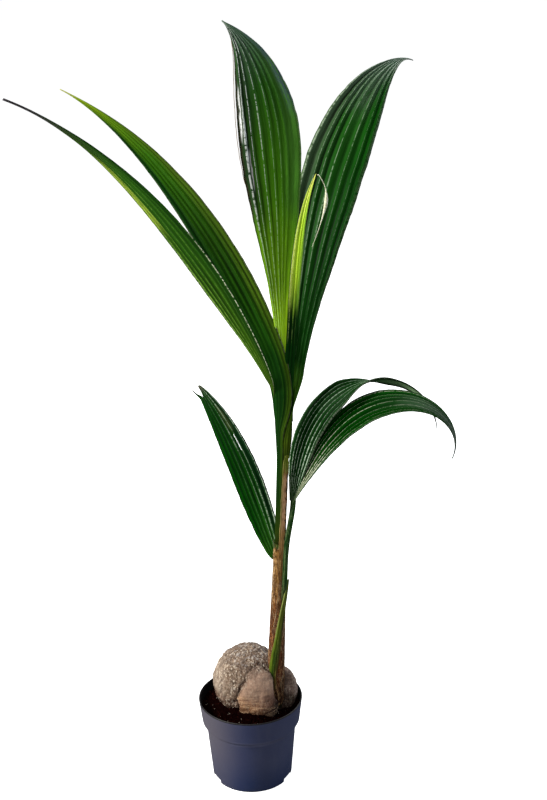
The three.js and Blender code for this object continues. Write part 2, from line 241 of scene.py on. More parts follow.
def eye(red, green, blue):
    """A colour as the eye reads it, from 0 to 255, made linear for a shader."""
    parts = [value / 255 for value in (red, green, blue)]
    return tuple(p / 12.92 if p < 0.04 else ((p + 0.055) / 1.055) ** 2.4 for p in parts) + (1.0,)


# Colours of each blade: stops along it, then its two edges, its margin and its ridges. Some stops and edge
# colours are painted light: lighter where a blade lies in shade or has light shining through it, dark green
# where shade falls on it, and greyer where a painted sheen lies. "margins" is how strong the margin is on
# the
# -1 and +1 side, "margin_end" how far along it goes and "edge_from" where the colours of the edges begin.
# "ridge" is how strong and how wide the ridge lines are, to which side they lean and how white they are: the
# lines are partly pale veins and partly painted highlight, whiter and wider on the side that they lean to.
# "valley" is how dark the painted shade in the folds is, "veins" how clear the fine lines are and "vee" how
# much later the edges change colour than the middle. "foot_lines" is how much wider the lines are at the
# foot, "foot_white" and "far_white" how white they are there and further along, and "gloss" how much the
# blade shines. "patches" are spots of other colour, most of them painted light: white highlights, greyish
# sheen and lighter green where another blade's shadow falls. Their place across and along, half width, half
# length and colour.
DYE_DEFAULTS = {
    "vee": 0.0, "edge_from": 0.06, "margin_end": 1.0, "far_white": 1.0, "foot_white": 0.7, "foot_lines": 1.4,
    "veins": 0.35, "gloss": 0.05, "patches": (),
}
FROND_COLOURS = {
    "top_frond_left": {
        # Painted light: the bright yellow-green low down stands for light shining through the blade where
        # others shade it, the greyer tip is a painted sheen and the white patches are painted highlights
        "along": (
            (0.0, (40, 66, 14)), (0.09, (60, 104, 20)), (0.145, (168, 218, 40)), (0.24, (170, 220, 34)),
            (0.34, (118, 168, 24)), (0.55, (72, 130, 16)), (0.82, (36, 88, 14)), (0.95, (60, 82, 64)),
        ),
        "first": (62, 112, 34), "second": (38, 64, 32), "margin": (150, 130, 96), "margins": (0.2, 0.3),
        "ridges": (240, 244, 234), "ridge": (0.85, 0.1, 1.0, 0.5), "valley": 0.6, "foot_white": 0.0,
        "edge_from": 0.45, "patches": (
            (0.9, 0.77, 0.04, 0.08, (250, 252, 250)), (0.78, 0.7, 0.03, 0.07, (250, 252, 250)),
            (0.7, 0.63, 0.04, 0.06, (250, 252, 250)), (-0.95, 0.87, 0.3, 0.15, (56, 78, 72)),
        ),
    },
    "top_frond_right": {
        # Painted sheen: the greyer left edge, the grey stops near the tip and the grey-green patch
        "along": (
            (0.0, (58, 76, 14)), (0.04, (74, 96, 16)), (0.08, (54, 96, 17)), (0.13, (17, 66, 8)),
            (0.18, (14, 68, 8)), (0.46, (14, 64, 6)), (0.72, (28, 74, 20)), (0.9, (56, 88, 60)),
            (1.0, (110, 116, 104)),
        ),
        "first": (8, 60, 5), "second": (58, 80, 54), "margin": (120, 140, 100), "margins": (0.3, 0.2),
        "ridges": (190, 208, 180), "ridge": (0.7, 0.1, 0.3, 0.5), "valley": 0.7, "foot_lines": 0.4,
        "patches": ((0.1, 0.78, 0.7, 0.12, (58, 84, 56)),),
    },
    "left_frond_far": {
        "along": (
            (0.0, (40, 54, 6)), (0.03, (14, 44, 6)), (0.07, (10, 44, 6)), (0.117, (10, 46, 6)),
            (0.145, (22, 72, 11)), (0.17, (20, 68, 9)), (0.2, (26, 74, 7)), (0.46, (28, 66, 2)),
            (0.6, (36, 80, 3)), (0.72, (43, 92, 5)), (0.86, (80, 116, 10)), (0.95, (108, 132, 14)),
            (1.0, (160, 160, 80)),
        ),
        "first": (62, 90, 14), "second": (8, 52, 6), "margin": (160, 170, 130), "margins": (0.7, 0.2),
        "ridges": (96, 140, 40), "ridge": (0.4, 0.12, -0.3, 0.5), "valley": 0.55, "edge_from": 0.0,
    },
    "left_frond_near": {
        "along": (
            (0.0, (58, 84, 16)), (0.1, (54, 84, 14)), (0.23, (50, 88, 10)), (0.48, (38, 84, 12)),
            (0.72, (44, 94, 18)), (0.84, (52, 78, 34)), (0.92, (66, 62, 64)), (1.0, (60, 54, 60)),
        ),
        "first": (56, 98, 16), "second": (24, 64, 10), "margin": (222, 228, 192), "margins": (0.4, 0.9),
        "margin_end": 0.42, "patches": ((-0.75, 0.66, 0.35, 0.14, (150, 176, 60)),),
        "ridges": (160, 196, 90), "ridge": (0.7, 0.13, -0.6, 0.5), "valley": 0.6,
    },
    "right_frond_far": {
        # Painted light: the stops past the bend are lighter, for the blade's underside that lies in shade
        "along": (
            (0.0, (32, 64, 20)), (0.15, (9, 50, 9)), (0.4, (6, 46, 7)), (0.6, (12, 50, 12)),
            (0.68, (56, 100, 52)), (0.8, (120, 152, 110)), (1.0, (120, 130, 110)),
        ),
        "first": (8, 44, 8), "second": (14, 52, 14), "margin": (150, 160, 140), "margins": (0.3, 0.3),
        "ridges": (206, 228, 202), "ridge": (1.0, 0.15, 0.1, 0.85), "valley": 0.85, "veins": 0.05,
        "foot_lines": 2.2, "far_white": 0.5, "gloss": 0.02,
    },
    "right_frond_near": {
        # Painted light: the patch is lighter green where the far frond's shadow falls; the grey stops near
        # the tip are a painted sheen
        "along": (
            (0.0, (34, 66, 20)), (0.1, (44, 66, 24)), (0.24, (6, 48, 4)), (0.5, (4, 46, 4)),
            (0.62, (20, 56, 20)), (0.72, (56, 82, 56)), (0.85, (66, 82, 68)), (1.0, (98, 104, 96)),
        ),
        "first": (6, 54, 4), "second": (10, 62, 10), "margin": (150, 160, 140), "margins": (0.3, 0.4),
        "ridges": (238, 238, 214), "ridge": (0.95, 0.062, 0.1, 0.85), "valley": 0.75, "veins": 0.05,
        "foot_lines": 8.0, "far_white": 0.58, "gloss": 0.0, "patches": ((0.6, 0.3, 0.7, 0.2, (10, 74, 8)),),
    },
    "small_left_frond": {
        # Painted sheen: the olive-grey patch
        "along": (
            (0.0, (44, 92, 22)), (0.25, (20, 78, 10)), (0.5, (9, 64, 4)), (0.75, (7, 60, 2)),
            (0.88, (12, 66, 6)), (0.96, (30, 64, 22)), (1.0, (70, 62, 48)),
        ),
        "first": (12, 46, 20), "second": (5, 66, 2), "margin": (120, 120, 90), "margins": (0.3, 0.1),
        "ridges": (180, 198, 170), "ridge": (0.8, 0.12, -0.9, 0.5), "valley": 0.65,
        "patches": ((-0.5, 0.79, 0.3, 0.1, (66, 84, 40)),),
    },
    "spear_leaf": {
        # Painted shade: the lower part of the spear is dark green, where the blades about it shade it
        "along": (
            (0.0, (8, 50, 8)), (0.4, (10, 54, 8)), (0.46, (110, 152, 40)), (0.54, (164, 200, 44)),
            (0.8, (170, 206, 46)), (0.93, (196, 206, 92)), (1.0, (186, 160, 104)),
        ),
        "first": (100, 144, 34), "second": (172, 194, 72), "margin": (226, 228, 186), "margins": (0.2, 0.9),
        "ridges": (216, 228, 140), "ridge": (0.6, 0.2, 0.3, 0.5), "valley": 0.7, "vee": 0.1,
        "edge_from": 0.42, "foot_lines": -6.0,
    },
}


class Graph:
    """Short ways to place and join the nodes of one tree."""

    def __init__(self, tree):
        self.tree = tree

    def feed(self, socket, value):
        if isinstance(value, bpy.types.NodeSocket):
            self.tree.links.new(value, socket)
        else:
            socket.default_value = value

    def node(self, kind, inputs=None, **settings):
        """Places a node, sets it up and feeds its inputs by name."""
        node = self.tree.nodes.new(kind)
        for name, value in settings.items():
            setattr(node, name, value)
        for name, value in (inputs or {}).items():
            self.feed(next(s for s in node.inputs if s.enabled and s.name == name), value)
        return node

    def value(self, kind, *inputs, **settings):
        """Places a node, feeds its shown inputs in order and gives its first shown output."""
        node = self.node(kind, **settings)
        shown = [socket for socket in node.inputs if socket.enabled]
        for socket, value in zip(shown, inputs):
            if value is not None:
                self.feed(socket, value)
        return next(socket for socket in node.outputs if socket.enabled)

    def math(self, operation, *values):
        return self.value("ShaderNodeMath", *values, operation=operation)

    def run(self, operation, first, *others):
        """Applies an operation from each value to the next."""
        for other in others:
            first = self.math(operation, first, other)
        return first

    def times(self, *values):
        return self.run("MULTIPLY", *values)

    def plus(self, *values):
        return self.run("ADD", *values)

    def minus(self, first, second):
        return self.math("SUBTRACT", first, second)

    def times_plus(self, value, factor, extra):
        return self.math("MULTIPLY_ADD", value, factor, extra)

    def at_least(self, value, limit):
        return self.math("MAXIMUM", value, limit)

    def at_most(self, value, limit):
        return self.math("MINIMUM", value, limit)

    def away(self, value, place):
        """How far a value is from a place, to either side."""
        return self.math("ABSOLUTE", self.minus(value, place))

    def vector(self, operation, *values):
        return self.value("ShaderNodeVectorMath", *values, operation=operation)

    def xyz(self, x, y, z):
        return self.value("ShaderNodeCombineXYZ", x, y, z)

    def split(self, place):
        return self.node("ShaderNodeSeparateXYZ", {"Vector": place}).outputs

    def mix(self, factor, first, second, **settings):
        return self.value("ShaderNodeMix", factor, first, second, data_type="RGBA", **settings)

    def between(self, factor, first, second):
        return self.value("ShaderNodeMix", factor, first, second, data_type="FLOAT")

    def ease(self, value, start, end, low=0.0, high=1.0):
        """Goes smoothly from low to high as a value goes from start to end."""
        return self.value(
            "ShaderNodeMapRange", value, start, end, low, high, interpolation_type="SMOOTHSTEP"
        )

    def noise(self, place, scale, detail=2.0, roughness=0.5):
        return self.value("ShaderNodeTexNoise", place, scale, detail, roughness)

    def shaded(self, colour, amount):
        """A colour made darker or lighter by an amount."""
        return self.mix(1.0, colour, self.xyz(amount, amount, amount), blend_type="MULTIPLY")

    def coats(self, colour, *coats):
        """Lays coats of colour over a first one, each by its own mask."""
        for mask, coat in coats:
            colour = self.mix(mask, colour, eye(*coat))
        return colour

    def marked(self, name):
        """A number kept on a mesh, for a material."""
        return self.node("ShaderNodeAttribute", attribute_name=name).outputs["Fac"]

    def painted(self, name):
        """A colour kept on a mesh, for a material."""
        return self.node("ShaderNodeAttribute", attribute_name=name).outputs["Color"]

    def named(self, name):
        """A number kept on a mesh, for a Geometry Nodes tree."""
        node = self.node("GeometryNodeInputNamedAttribute", {"Name": name}, data_type="FLOAT")
        return node.outputs["Attribute"]

    def keep(self, shape, name, field, kind="FLOAT", domain="POINT"):
        return self.value(
            "GeometryNodeStoreNamedAttribute", shape, None, name, field, data_type=kind, domain=domain
        )

    def chance(self, low, high, seed, kind="FLOAT"):
        return self.value("FunctionNodeRandomValue", low, high, None, seed, data_type=kind)

    def strew(self, ground, density, where, seed):
        """Points strewn over a surface, as thickly as one of its attributes says."""
        inputs = {"Mesh": ground, "Density": self.times(density, self.named(where)), "Seed": seed}
        return self.node("GeometryNodeDistributePointsOnFaces", inputs).outputs

    def tube(self, curve, sides, girth):
        """A tube along a curve, as thick as a girth says."""
        circle = self.value("GeometryNodeCurvePrimitiveCircle", sides)
        inputs = {"Curve": curve, "Profile Curve": circle, "Scale": girth, "Fill Caps": True}
        return self.node("GeometryNodeCurveToMesh", inputs).outputs["Mesh"]

    def finish(self, shape, material):
        """Makes a tree's result real and smooth, in its material."""
        shape = self.value("GeometryNodeRealizeInstances", shape)
        shape = self.value("GeometryNodeSetShadeSmooth", shape, None, True)
        return self.value("GeometryNodeSetMaterial", shape, None, material)


def floats(*labels):
    return [(label, "Float") for label in labels]


def new_group(name, kind, inputs, outputs):
    """An empty node group with named inputs and outputs, and ways into it."""
    tree = bpy.data.node_groups.new(name, kind)
    for label, socket_kind in inputs:
        tree.interface.new_socket(label, in_out="INPUT", socket_type="NodeSocket" + socket_kind)
    for label, socket_kind in outputs:
        tree.interface.new_socket(label, in_out="OUTPUT", socket_type="NodeSocket" + socket_kind)
    graph = Graph(tree)
    return graph, graph.node("NodeGroupInput").outputs, graph.node("NodeGroupOutput").inputs


# Shader groups

def build_frond_place():
    """How far along a blade a spot lies, made to wander a little, and later towards the edges by the vee."""
    g, given, result = new_group("frond_place", "ShaderNodeTree", floats("Vee", "Wander"), floats("Along"))
    share = g.marked("share")
    across = g.marked("across")
    wander = g.noise(g.xyz(g.times(across, 3.0), g.times(share, 4.0), 0.0), 1.0, 3.0)
    wander = g.times(g.minus(wander, 0.5), given["Wander"], g.ease(share, 0.05, 0.3))
    late = g.times(g.math("ABSOLUTE", across), given["Vee"])
    g.feed(result["Along"], g.minus(g.plus(share, wander), late))
    return g.tree


def build_frond_tint():
    """Colour of a blade towards its two edges, with a broken pale margin."""
    g, given, result = new_group(
        "frond_tint", "ShaderNodeTree",
        [(label, "Color") for label in ("Colour", "First Edge", "Second Edge", "Margin")]
        + floats("First Margin", "Second Margin", "Edge From", "Margin End"),
        [("Colour", "Color")],
    )
    share = g.marked("share")
    across = g.marked("across")
    wander = g.noise(g.xyz(g.times(across, 3.0), g.times(share, 5.0), 7.0), 1.0, 3.0)
    sideways = g.plus(across, g.times(g.minus(wander, 0.5), 0.6))
    begun = g.ease(share, given["Edge From"], g.plus(given["Edge From"], 0.12))
    inner = g.times(begun, g.ease(share, 0.99, 0.8))
    first = g.times(g.ease(sideways, -0.2, -0.9), inner)
    second = g.times(g.ease(sideways, 0.2, 0.9), inner)
    colour = g.mix(first, given["Colour"], given["First Edge"])
    colour = g.mix(second, colour, given["Second Edge"])
    dashes = g.noise(g.xyz(across, g.times(share, 120.0), 2.0), 1.0, 2.0)
    dashed = g.ease(dashes, 0.38, 0.54)
    rim = g.times(g.ease(across, -0.90, -0.97), given["First Margin"])
    rim = g.plus(rim, g.times(g.ease(across, 0.90, 0.97), given["Second Margin"]))
    ended = g.ease(share, g.plus(given["Margin End"], 0.15), given["Margin End"])
    rim = g.times(rim, dashed, g.times(begun, ended))
    colour = g.mix(rim, colour, given["Margin"])
    g.feed(result["Colour"], colour)
    return g.tree


def build_pleat_lines():
    """Pale broken ridge lines that are partly painted highlight, painted shade in the folds, fine veins and
    streaks that follow a blade's pleats.
    """
    g, given, result = new_group(
        "pleat_lines", "ShaderNodeTree",
        [("Colour", "Color"), ("Ridge Colour", "Color")] + floats(
            "Ridge", "Ridge Width", "Ridge Lean", "Ridge White", "Far White", "Foot White", "Foot Lines",
            "Valley", "Veins",
        ),
        [("Colour", "Color")] + floats("Roughness", "Height"),
    )
    share = g.marked("share")
    across = g.marked("across")
    fold = g.marked("fold")
    side = g.times_plus(given["Ridge Lean"], across, 1.0)
    from_ridge = g.math("ABSOLUTE", g.times_plus(g.math("FRACT", fold), 2.0, -1.0))
    broken = g.noise(g.xyz(fold, g.times(share, 110.0), 0.0), 1.0, 3.0, 0.7)
    each = g.noise(g.xyz(g.times(g.math("FLOOR", fold), 3.0), g.times(share, 2.5), 9.0), 1.0, 1.0)
    near_foot = g.at_least(g.ease(share, 0.4, 0.05, 1.0, given["Foot Lines"]), 0.001)
    swelling = g.ease(each, 0.38, 0.68, 0.6, 1.7)
    width = g.times(given["Ridge Width"], side, g.times(near_foot, swelling))
    line = g.times(
        g.ease(from_ridge, width, g.times(width, 0.15)), g.ease(broken, 0.36, 0.56),
        g.ease(share, 0.01, 0.09, 0.2, 1.0), g.times(given["Ridge"], side),
    )
    line = g.at_most(line, 1.0)
    fold_at = g.math("FLOOR", g.plus(fold, 0.5))
    depth = g.noise(g.xyz(g.times(fold_at, 3.0), g.times(share, 2.0), 3.0), 1.0, 1.0)
    # Painted shade in the folds, deeper in some than in others
    valley = g.times(
        g.ease(from_ridge, 0.45, 1.0), g.ease(depth, 0.3, 0.65, 0.2, 1.2), given["Valley"],
        g.at_most(side, 1.2), g.ease(share, 0.3, 0.1, 1.0, 1.15),
    )
    valley = g.at_most(valley, 0.92)
    wave = g.math("SINE", g.times(fold, 2 * math.pi * 6))
    vein = g.times(g.ease(wave, 0.2, 1.0), given["Veins"])
    streak = g.noise(g.xyz(g.times(fold, 3.0), g.times(share, 7.0), 5.0), 1.0, 4.0, 0.6)
    lit = g.times(g.times_plus(streak, 1.7, 0.18), g.minus(1.0, valley))
    colour = g.shaded(given["Colour"], g.plus(lit, g.times(vein, 0.4)))
    # Painted highlight: the ridge lines whiter further along and on the side that they lean to
    whitest = g.times(given["Ridge White"], g.ease(share, 0.12, 0.45, 1.0, given["Far White"]))
    leaning = g.times(given["Ridge Lean"], across, g.ease(share, 0.4, 0.66, given["Foot White"], 0.7))
    whiter = g.at_most(g.at_least(g.plus(leaning, whitest), 0.0), 1.0)
    pale = g.mix(whiter, g.vector("SCALE", given["Colour"], 2.6), given["Ridge Colour"])
    g.feed(result["Colour"], g.mix(line, colour, pale))
    g.feed(result["Roughness"], g.times_plus(streak, 0.22, 0.30))
    g.feed(result["Height"], g.plus(g.times(vein, 0.6), g.times(streak, 0.5), g.times(line, 0.6)))
    return g.tree


def build_fibre_grain():
    """Flecks, strands and pits of a fibrous surface, drawn out along one direction."""
    g, given, result = new_group(
        "fibre_grain", "ShaderNodeTree",
        [("Place", "Vector"), ("Stretch", "Vector"), ("Scale", "Float")],
        floats("Flecks", "Pits", "Strands", "Height"),
    )
    place = g.vector("MULTIPLY", given["Place"], given["Stretch"])
    strands = g.noise(place, given["Scale"], 5.0, 0.65)
    fine = g.noise(given["Place"], g.times(given["Scale"], 2.3), 4.0, 0.7)
    g.feed(result["Flecks"], g.times(g.ease(strands, 0.50, 0.60), g.ease(fine, 0.42, 0.55)))
    g.feed(result["Pits"], g.times(g.ease(strands, 0.49, 0.39), g.ease(fine, 0.58, 0.45)))
    g.feed(result["Strands"], strands)
    g.feed(result["Height"], g.plus(strands, g.times(fine, 0.6)))
    return g.tree


def build_dust():
    """Where dust and splashed earth gather: low down, and in uneven patches."""
    g, given, result = new_group(
        "settled_dust", "ShaderNodeTree", [("Place", "Vector")] + floats("Low", "High", "Scale"),
        floats("Dust", "Speckle"),
    )
    height = g.split(given["Place"])["Z"]
    patches = g.noise(given["Place"], given["Scale"], 5.0, 0.65)
    speckle = g.noise(given["Place"], g.times(given["Scale"], 14.0), 3.0, 0.6)
    near = g.value("ShaderNodeMapRange", height, given["High"], given["Low"], 0.0, 1.0)
    g.feed(result["Dust"], g.times(near, g.ease(patches, 0.35, 0.68)))
    g.feed(result["Speckle"], g.ease(speckle, 0.58, 0.74))
    return g.tree


FROND_PLACE = build_frond_place()
FROND_TINT = build_frond_tint()
PLEAT_LINES = build_pleat_lines()
FIBRE_GRAIN = build_fibre_grain()
SETTLED_DUST = build_dust()


# Materials

def new_material(name, roughness=None, gloss=None):
    """A material with its Principled shader's inputs, and ways to place its nodes."""
    material = bpy.data.materials.new(name)
    material.use_nodes = True
    shader = material.node_tree.nodes["Principled BSDF"].inputs
    for label, value in (("Roughness", roughness), ("Specular IOR Level", gloss)):
        if value is not None:
            shader[label].default_value = value
    return material, Graph(material.node_tree), shader


def use_group(g, group, **inputs):
    """Places a shader group with its own values and gives its outputs. Spaces are written as _."""
    node = g.tree.nodes.new("ShaderNodeGroup")
    node.node_tree = group
    for name, value in inputs.items():
        g.feed(node.inputs[name.replace("_", " ")], value)
    return node.outputs


def bump(g, shader, height, strength, distance, normal=None):
    node = g.node("ShaderNodeBump", {"Strength": strength, "Distance": distance * MM, "Height": height})
    if normal:
        g.feed(node.inputs["Normal"], normal)
    g.feed(shader["Normal"], node.outputs["Normal"])


def object_place(g):
    return g.node("ShaderNodeTexCoord").outputs["Object"]


def frond_material(name):
    dye = {**DYE_DEFAULTS, **FROND_COLOURS[name]}
    material, g, shader = new_material(name + "_finish", gloss=dye["gloss"])
    along = use_group(g, FROND_PLACE, Vee=dye["vee"], Wander=0.14)["Along"]
    ramp = g.node("ShaderNodeValToRGB", {"Fac": along})
    stops = ramp.color_ramp.elements
    while len(stops) < len(dye["along"]):
        stops.new(1.0)
    for stop, (position, colour) in zip(stops, dye["along"]):
        stop.position = position
        stop.color = eye(*colour)
    first_margin, second_margin = dye["margins"]
    colour = use_group(
        g, FROND_TINT, Colour=ramp.outputs["Color"], First_Edge=eye(*dye["first"]),
        Second_Edge=eye(*dye["second"]), Margin=eye(*dye["margin"]), First_Margin=first_margin,
        Second_Margin=second_margin, Edge_From=dye["edge_from"], Margin_End=dye["margin_end"],
    )["Colour"]
    across = g.marked("across")
    share = g.marked("share")
    torn = g.noise(g.xyz(g.times(across, 26.0), g.times(share, 34.0), 0.0), 1.0, 3.0)
    # Spots of other colour, most of them painted highlight, painted sheen and lighter colour where shadow
    # falls
    for patch_across, patch_share, width, length, patch_colour in dye["patches"]:
        beside = g.ease(g.away(across, patch_across), width, width * 0.4)
        beyond = g.ease(g.away(share, patch_share), length, length * 0.4)
        colour = g.coats(colour, (g.times(beside, beyond, g.ease(torn, 0.36, 0.5)), patch_colour))
    strength, width, lean, white = dye["ridge"]
    lines = use_group(
        g, PLEAT_LINES, Colour=colour, Ridge_Colour=eye(*dye["ridges"]), Ridge=strength, Ridge_Width=width,
        Ridge_Lean=lean, Ridge_White=white, Far_White=dye["far_white"], Foot_White=dye["foot_white"],
        Foot_Lines=dye["foot_lines"], Valley=dye["valley"], Veins=dye["veins"],
    )
    g.feed(shader["Base Color"], lines["Colour"])
    g.feed(shader["Roughness"], lines["Roughness"])
    bump(g, shader, lines["Height"], 0.5, 0.5)
    return material


def pot_material():
    material, g, shader = new_material("slate_plastic", gloss=0.35)
    place = object_place(g)
    axis = g.split(place)
    x, y, z = axis["X"], axis["Y"], axis["Z"]
    dust = use_group(g, SETTLED_DUST, Place=place, Low=0.0, High=0.05, Scale=28.0)
    cloud = g.noise(place, 9.0, 3.0)
    flow = g.noise(g.vector("MULTIPLY", place, (60.0, 60.0, 4.0)), 1.0, 3.0)
    # Painted light: the left side, where the lamp falls, is lighter
    lit_left_side = g.times(g.ease(x, 0.0, -0.075), g.ease(z, 0.02, 0.13, 0.5, 0.7))
    # Painted light: a lighter band on the front of the moulded shoulder, against the shade that falls there
    shoulder_light = g.times(
        g.ease(z, 0.1015, 0.1055), g.ease(z, 0.118, 0.1145), g.ease(x, -0.05, -0.015, 0.0, 0.3),
        g.ease(x, 0.06, 0.01, 0.35, 1.0),
    )
    # Painted shade: darker and bluer towards the bottom, most on the right
    low_shade = g.ease(g.plus(z, g.times(cloud, 0.02)), 0.085, 0.02)
    low_shade = g.times(low_shade, g.ease(x, -0.06, 0.01, 0.25, 0.85))
    # Painted shade inside the pot, which begins at the middle of the wall; the lip's top is painted dark too
    wall_foot = POT_RIM_RADIUS - POT_WALL * 0.45 - COLLAR_SLOPE * POT_HEIGHT
    wall_middle = g.times_plus(z, COLLAR_SLOPE, wall_foot * MM)
    within = g.minus(wall_middle, g.vector("LENGTH", g.xyz(x, y, 0.0)))
    inner = g.times(g.ease(within, -0.0004, 0.0004), g.ease(z, 0.119, 0.122))
    inner = g.at_least(inner, g.ease(z, 0.1568, 0.1582))
    colour = g.coats(
        g.mix(g.ease(cloud, 0.3, 0.7), eye(47, 54, 88), eye(56, 62, 92)),
        (lit_left_side, (98, 92, 98)),
        (g.times(g.ease(flow, 0.5, 0.75), 0.14), (80, 84, 104)),
        (shoulder_light, (104, 106, 134)),
        (low_shade, (14, 36, 80)),
        (g.times(dust["Dust"], 0.15), (70, 70, 78)),
        (g.times(dust["Speckle"], 0.10), (96, 98, 108)),
        (inner, (11, 9, 12)),
    )
    g.feed(shader["Base Color"], colour)
    g.feed(shader["Roughness"], g.times_plus(cloud, 0.2, 0.46))
    # The moulded shoulder is shaded as one soft curve
    soft = g.times(g.ease(z, 0.088, 0.095), g.ease(z, 0.13, 0.1235))
    faced = g.node("ShaderNodeNewGeometry").outputs["Normal"]
    outward = g.vector("NORMALIZE", g.xyz(x, y, -0.0088))
    normal = g.vector("NORMALIZE", g.value("ShaderNodeMix", soft, faced, outward, data_type="VECTOR"))
    fine = g.noise(place, 900.0, 2.0)
    bump(g, shader, g.plus(fine, g.times(flow, 0.8)), 0.12, 0.25, normal)
    return material


def soil_material():
    material, g, shader = new_material("potting_mix_finish", 0.95, 0.0)
    grain = use_group(g, FIBRE_GRAIN, Place=object_place(g), Stretch=(1.0, 1.0, 1.0), Scale=240.0)
    colour = g.coats(
        g.mix(grain["Strands"], eye(6, 1, 1), eye(17, 4, 4)),
        (g.times(grain["Flecks"], 0.2), (40, 17, 13)),
        (g.ease(g.marked("tint"), 0.4, 1.0), (46, 18, 12)),
    )
    g.feed(shader["Base Color"], colour)
    bump(g, shader, grain["Height"], 0.9, 1.2)
    return material


def pale_bits_material():
    material, g, shader = new_material("pale_bits_finish", 0.9)
    grain = use_group(g, FIBRE_GRAIN, Place=object_place(g), Stretch=(1.0, 1.0, 1.0), Scale=400.0)
    g.feed(shader["Base Color"], g.mix(grain["Strands"], eye(120, 106, 92), eye(206, 196, 180)))
    bump(g, shader, grain["Height"], 0.5, 0.5)
    return material


def husk_material():
    material, g, shader = new_material("husk_finish", 0.9, 0.1)
    place = object_place(g)
    rough = g.marked("rough")
    frayed = g.marked("frayed")
    grain = use_group(g, FIBRE_GRAIN, Place=place, Stretch=(1.0, 1.0, 0.3), Scale=340.0)
    rings = use_group(g, FIBRE_GRAIN, Place=place, Stretch=(0.14, 0.14, 1.4), Scale=240.0)
    broad = g.noise(g.vector("MULTIPLY", place, (1.0, 1.0, 0.6)), 80.0, 5.0, 0.7)
    clumps = g.ease(g.noise(place, 52.0, 3.0), 0.4, 0.6, 0.3, 1.25)
    clumps = g.times(g.times_plus(rough, 0.62, 0.08), clumps)
    torn = g.times_plus(frayed, 0.85, 0.12)
    colour = g.coats(
        g.shaded(g.painted("husk_colour"), g.times_plus(broad, 1.5, 0.22)),
        (g.times(grain["Pits"], g.times_plus(rough, 0.6, 0.15)), (46, 33, 27)),
        (g.times(grain["Flecks"], clumps), (236, 222, 202)),
        (g.times(rings["Pits"], torn), (60, 34, 20)),
        (g.times(rings["Flecks"], torn), (212, 176, 140)),
    )
    g.feed(shader["Base Color"], colour)
    height = g.times(grain["Height"], g.times_plus(rough, 0.85, 0.15))
    height = g.plus(height, g.times(rings["Height"], g.times(frayed, 0.6)))
    bump(g, shader, height, 0.9, 1.8)
    return material


# Fibrous finishes: the colours of their flecks and pits and how clear both are, how matt the finish is, then
# how far the fibres are drawn out, how fine they are and how deep
BARK_FINISHES = {
    "stem_finish": ((150, 160, 90), (44, 44, 18), 0.35, 0.5, 0.04, 420.0, 0.5),
    "sheath_finish": ((204, 166, 116), (30, 16, 8), 0.6, 0.9, 0.35, 300.0, 1.6),
    "dry_strip_finish": ((204, 178, 124), (56, 38, 22), 0.5, 0.75, 0.05, 420.0, 0.8),
    "spike_finish": ((160, 166, 80), (26, 36, 8), 0.25, 0.5, 0.04, 420.0, 0.5),
    "stalk_finish": ((150, 166, 110), (18, 36, 12), 0.3, 0.45, 0.04, 420.0, 0.4),
}


def bark_material(name):
    """A fibrous finish over a painted colour."""
    pale, dark, clear, roughness, drawn_out, scale, relief = BARK_FINISHES[name]
    material, g, shader = new_material(name, roughness, 0.12)
    grain = use_group(g, FIBRE_GRAIN, Place=object_place(g), Stretch=(1.0, 1.0, drawn_out), Scale=scale)
    colour = g.coats(
        g.shaded(g.painted("bark_colour"), g.times_plus(grain["Strands"], 0.9, 0.55)),
        (g.times(grain["Pits"], clear), dark),
        (g.times(grain["Flecks"], clear), pale),
    )
    g.feed(shader["Base Color"], colour)
    bump(g, shader, grain["Height"], 0.6, relief)
    return material


def thread_material(name, pale, dark):
    material, g, shader = new_material(name, 0.7)
    streak = g.noise(object_place(g), 300.0, 3.0)
    g.feed(shader["Base Color"], g.mix(g.ease(streak, 0.3, 0.7), eye(*dark), eye(*pale)))
    return material


# Making and settling pieces

def new_piece(name, points, faces, material=None, edges=()):
    """A mesh object from points in millimetres."""
    mesh = bpy.data.meshes.new(name)
    mesh.from_pydata((np.asarray(points, float) * MM).tolist(), list(edges), [list(f) for f in faces])
    if material:
        mesh.materials.append(material)
    mesh.shade_smooth()
    piece = bpy.data.objects.new(name, mesh)
    scene.collection.objects.link(piece)
    return piece


def settle(piece):
    """Turns a piece with its modifiers into a plain mesh."""
    graph = bpy.context.evaluated_depsgraph_get()
    mesh = bpy.data.meshes.new_from_object(piece.evaluated_get(graph), depsgraph=graph)
    old = piece.data
    piece.modifiers.clear()
    piece.data = mesh
    bpy.data.meshes.remove(old)
    mesh.name = piece.name
    return piece


def grow(piece, tree, values):
    """Runs a Geometry Nodes tree on a piece, with its named inputs, and settles the result."""
    modifier = piece.modifiers.new("grow", "NODES")
    modifier.node_group = tree
    for item in tree.interface.items_tree:
        if item.in_out == "INPUT" and item.name in values:
            value = values[item.name]
            modifier[item.identifier] = float(value) if item.socket_type == "NodeSocketFloat" else value
    return settle(piece)


def thicken(piece, thickness):
    modifier = piece.modifiers.new("thickness", "SOLIDIFY")
    modifier.thickness = thickness * MM
    modifier.offset = 0
    return settle(piece)


def cut(piece, tool):
    """Takes a tool's shape out of a piece, and the tool away."""
    modifier = piece.modifiers.new("cut", "BOOLEAN")
    modifier.operation = "DIFFERENCE"
    modifier.solver = "EXACT"
    modifier.object = tool
    settle(piece)
    bpy.data.objects.remove(tool)
    return piece


def paint(piece, name, colours):
    attribute = piece.data.attributes.new(name, "FLOAT_COLOR", "POINT")
    attribute.data.foreach_set("color", np.asarray(colours, np.float32).ravel())


def mark(piece, name, values):
    attribute = piece.data.attributes.new(name, "FLOAT", "POINT")
    attribute.data.foreach_set("value", np.asarray(values, np.float32))


def points_of(piece):
    """A piece's corners, in millimetres."""
    flat = np.empty(len(piece.data.vertices) * 3)
    piece.data.vertices.foreach_get("co", flat)
    return flat.reshape(-1, 3) / MM


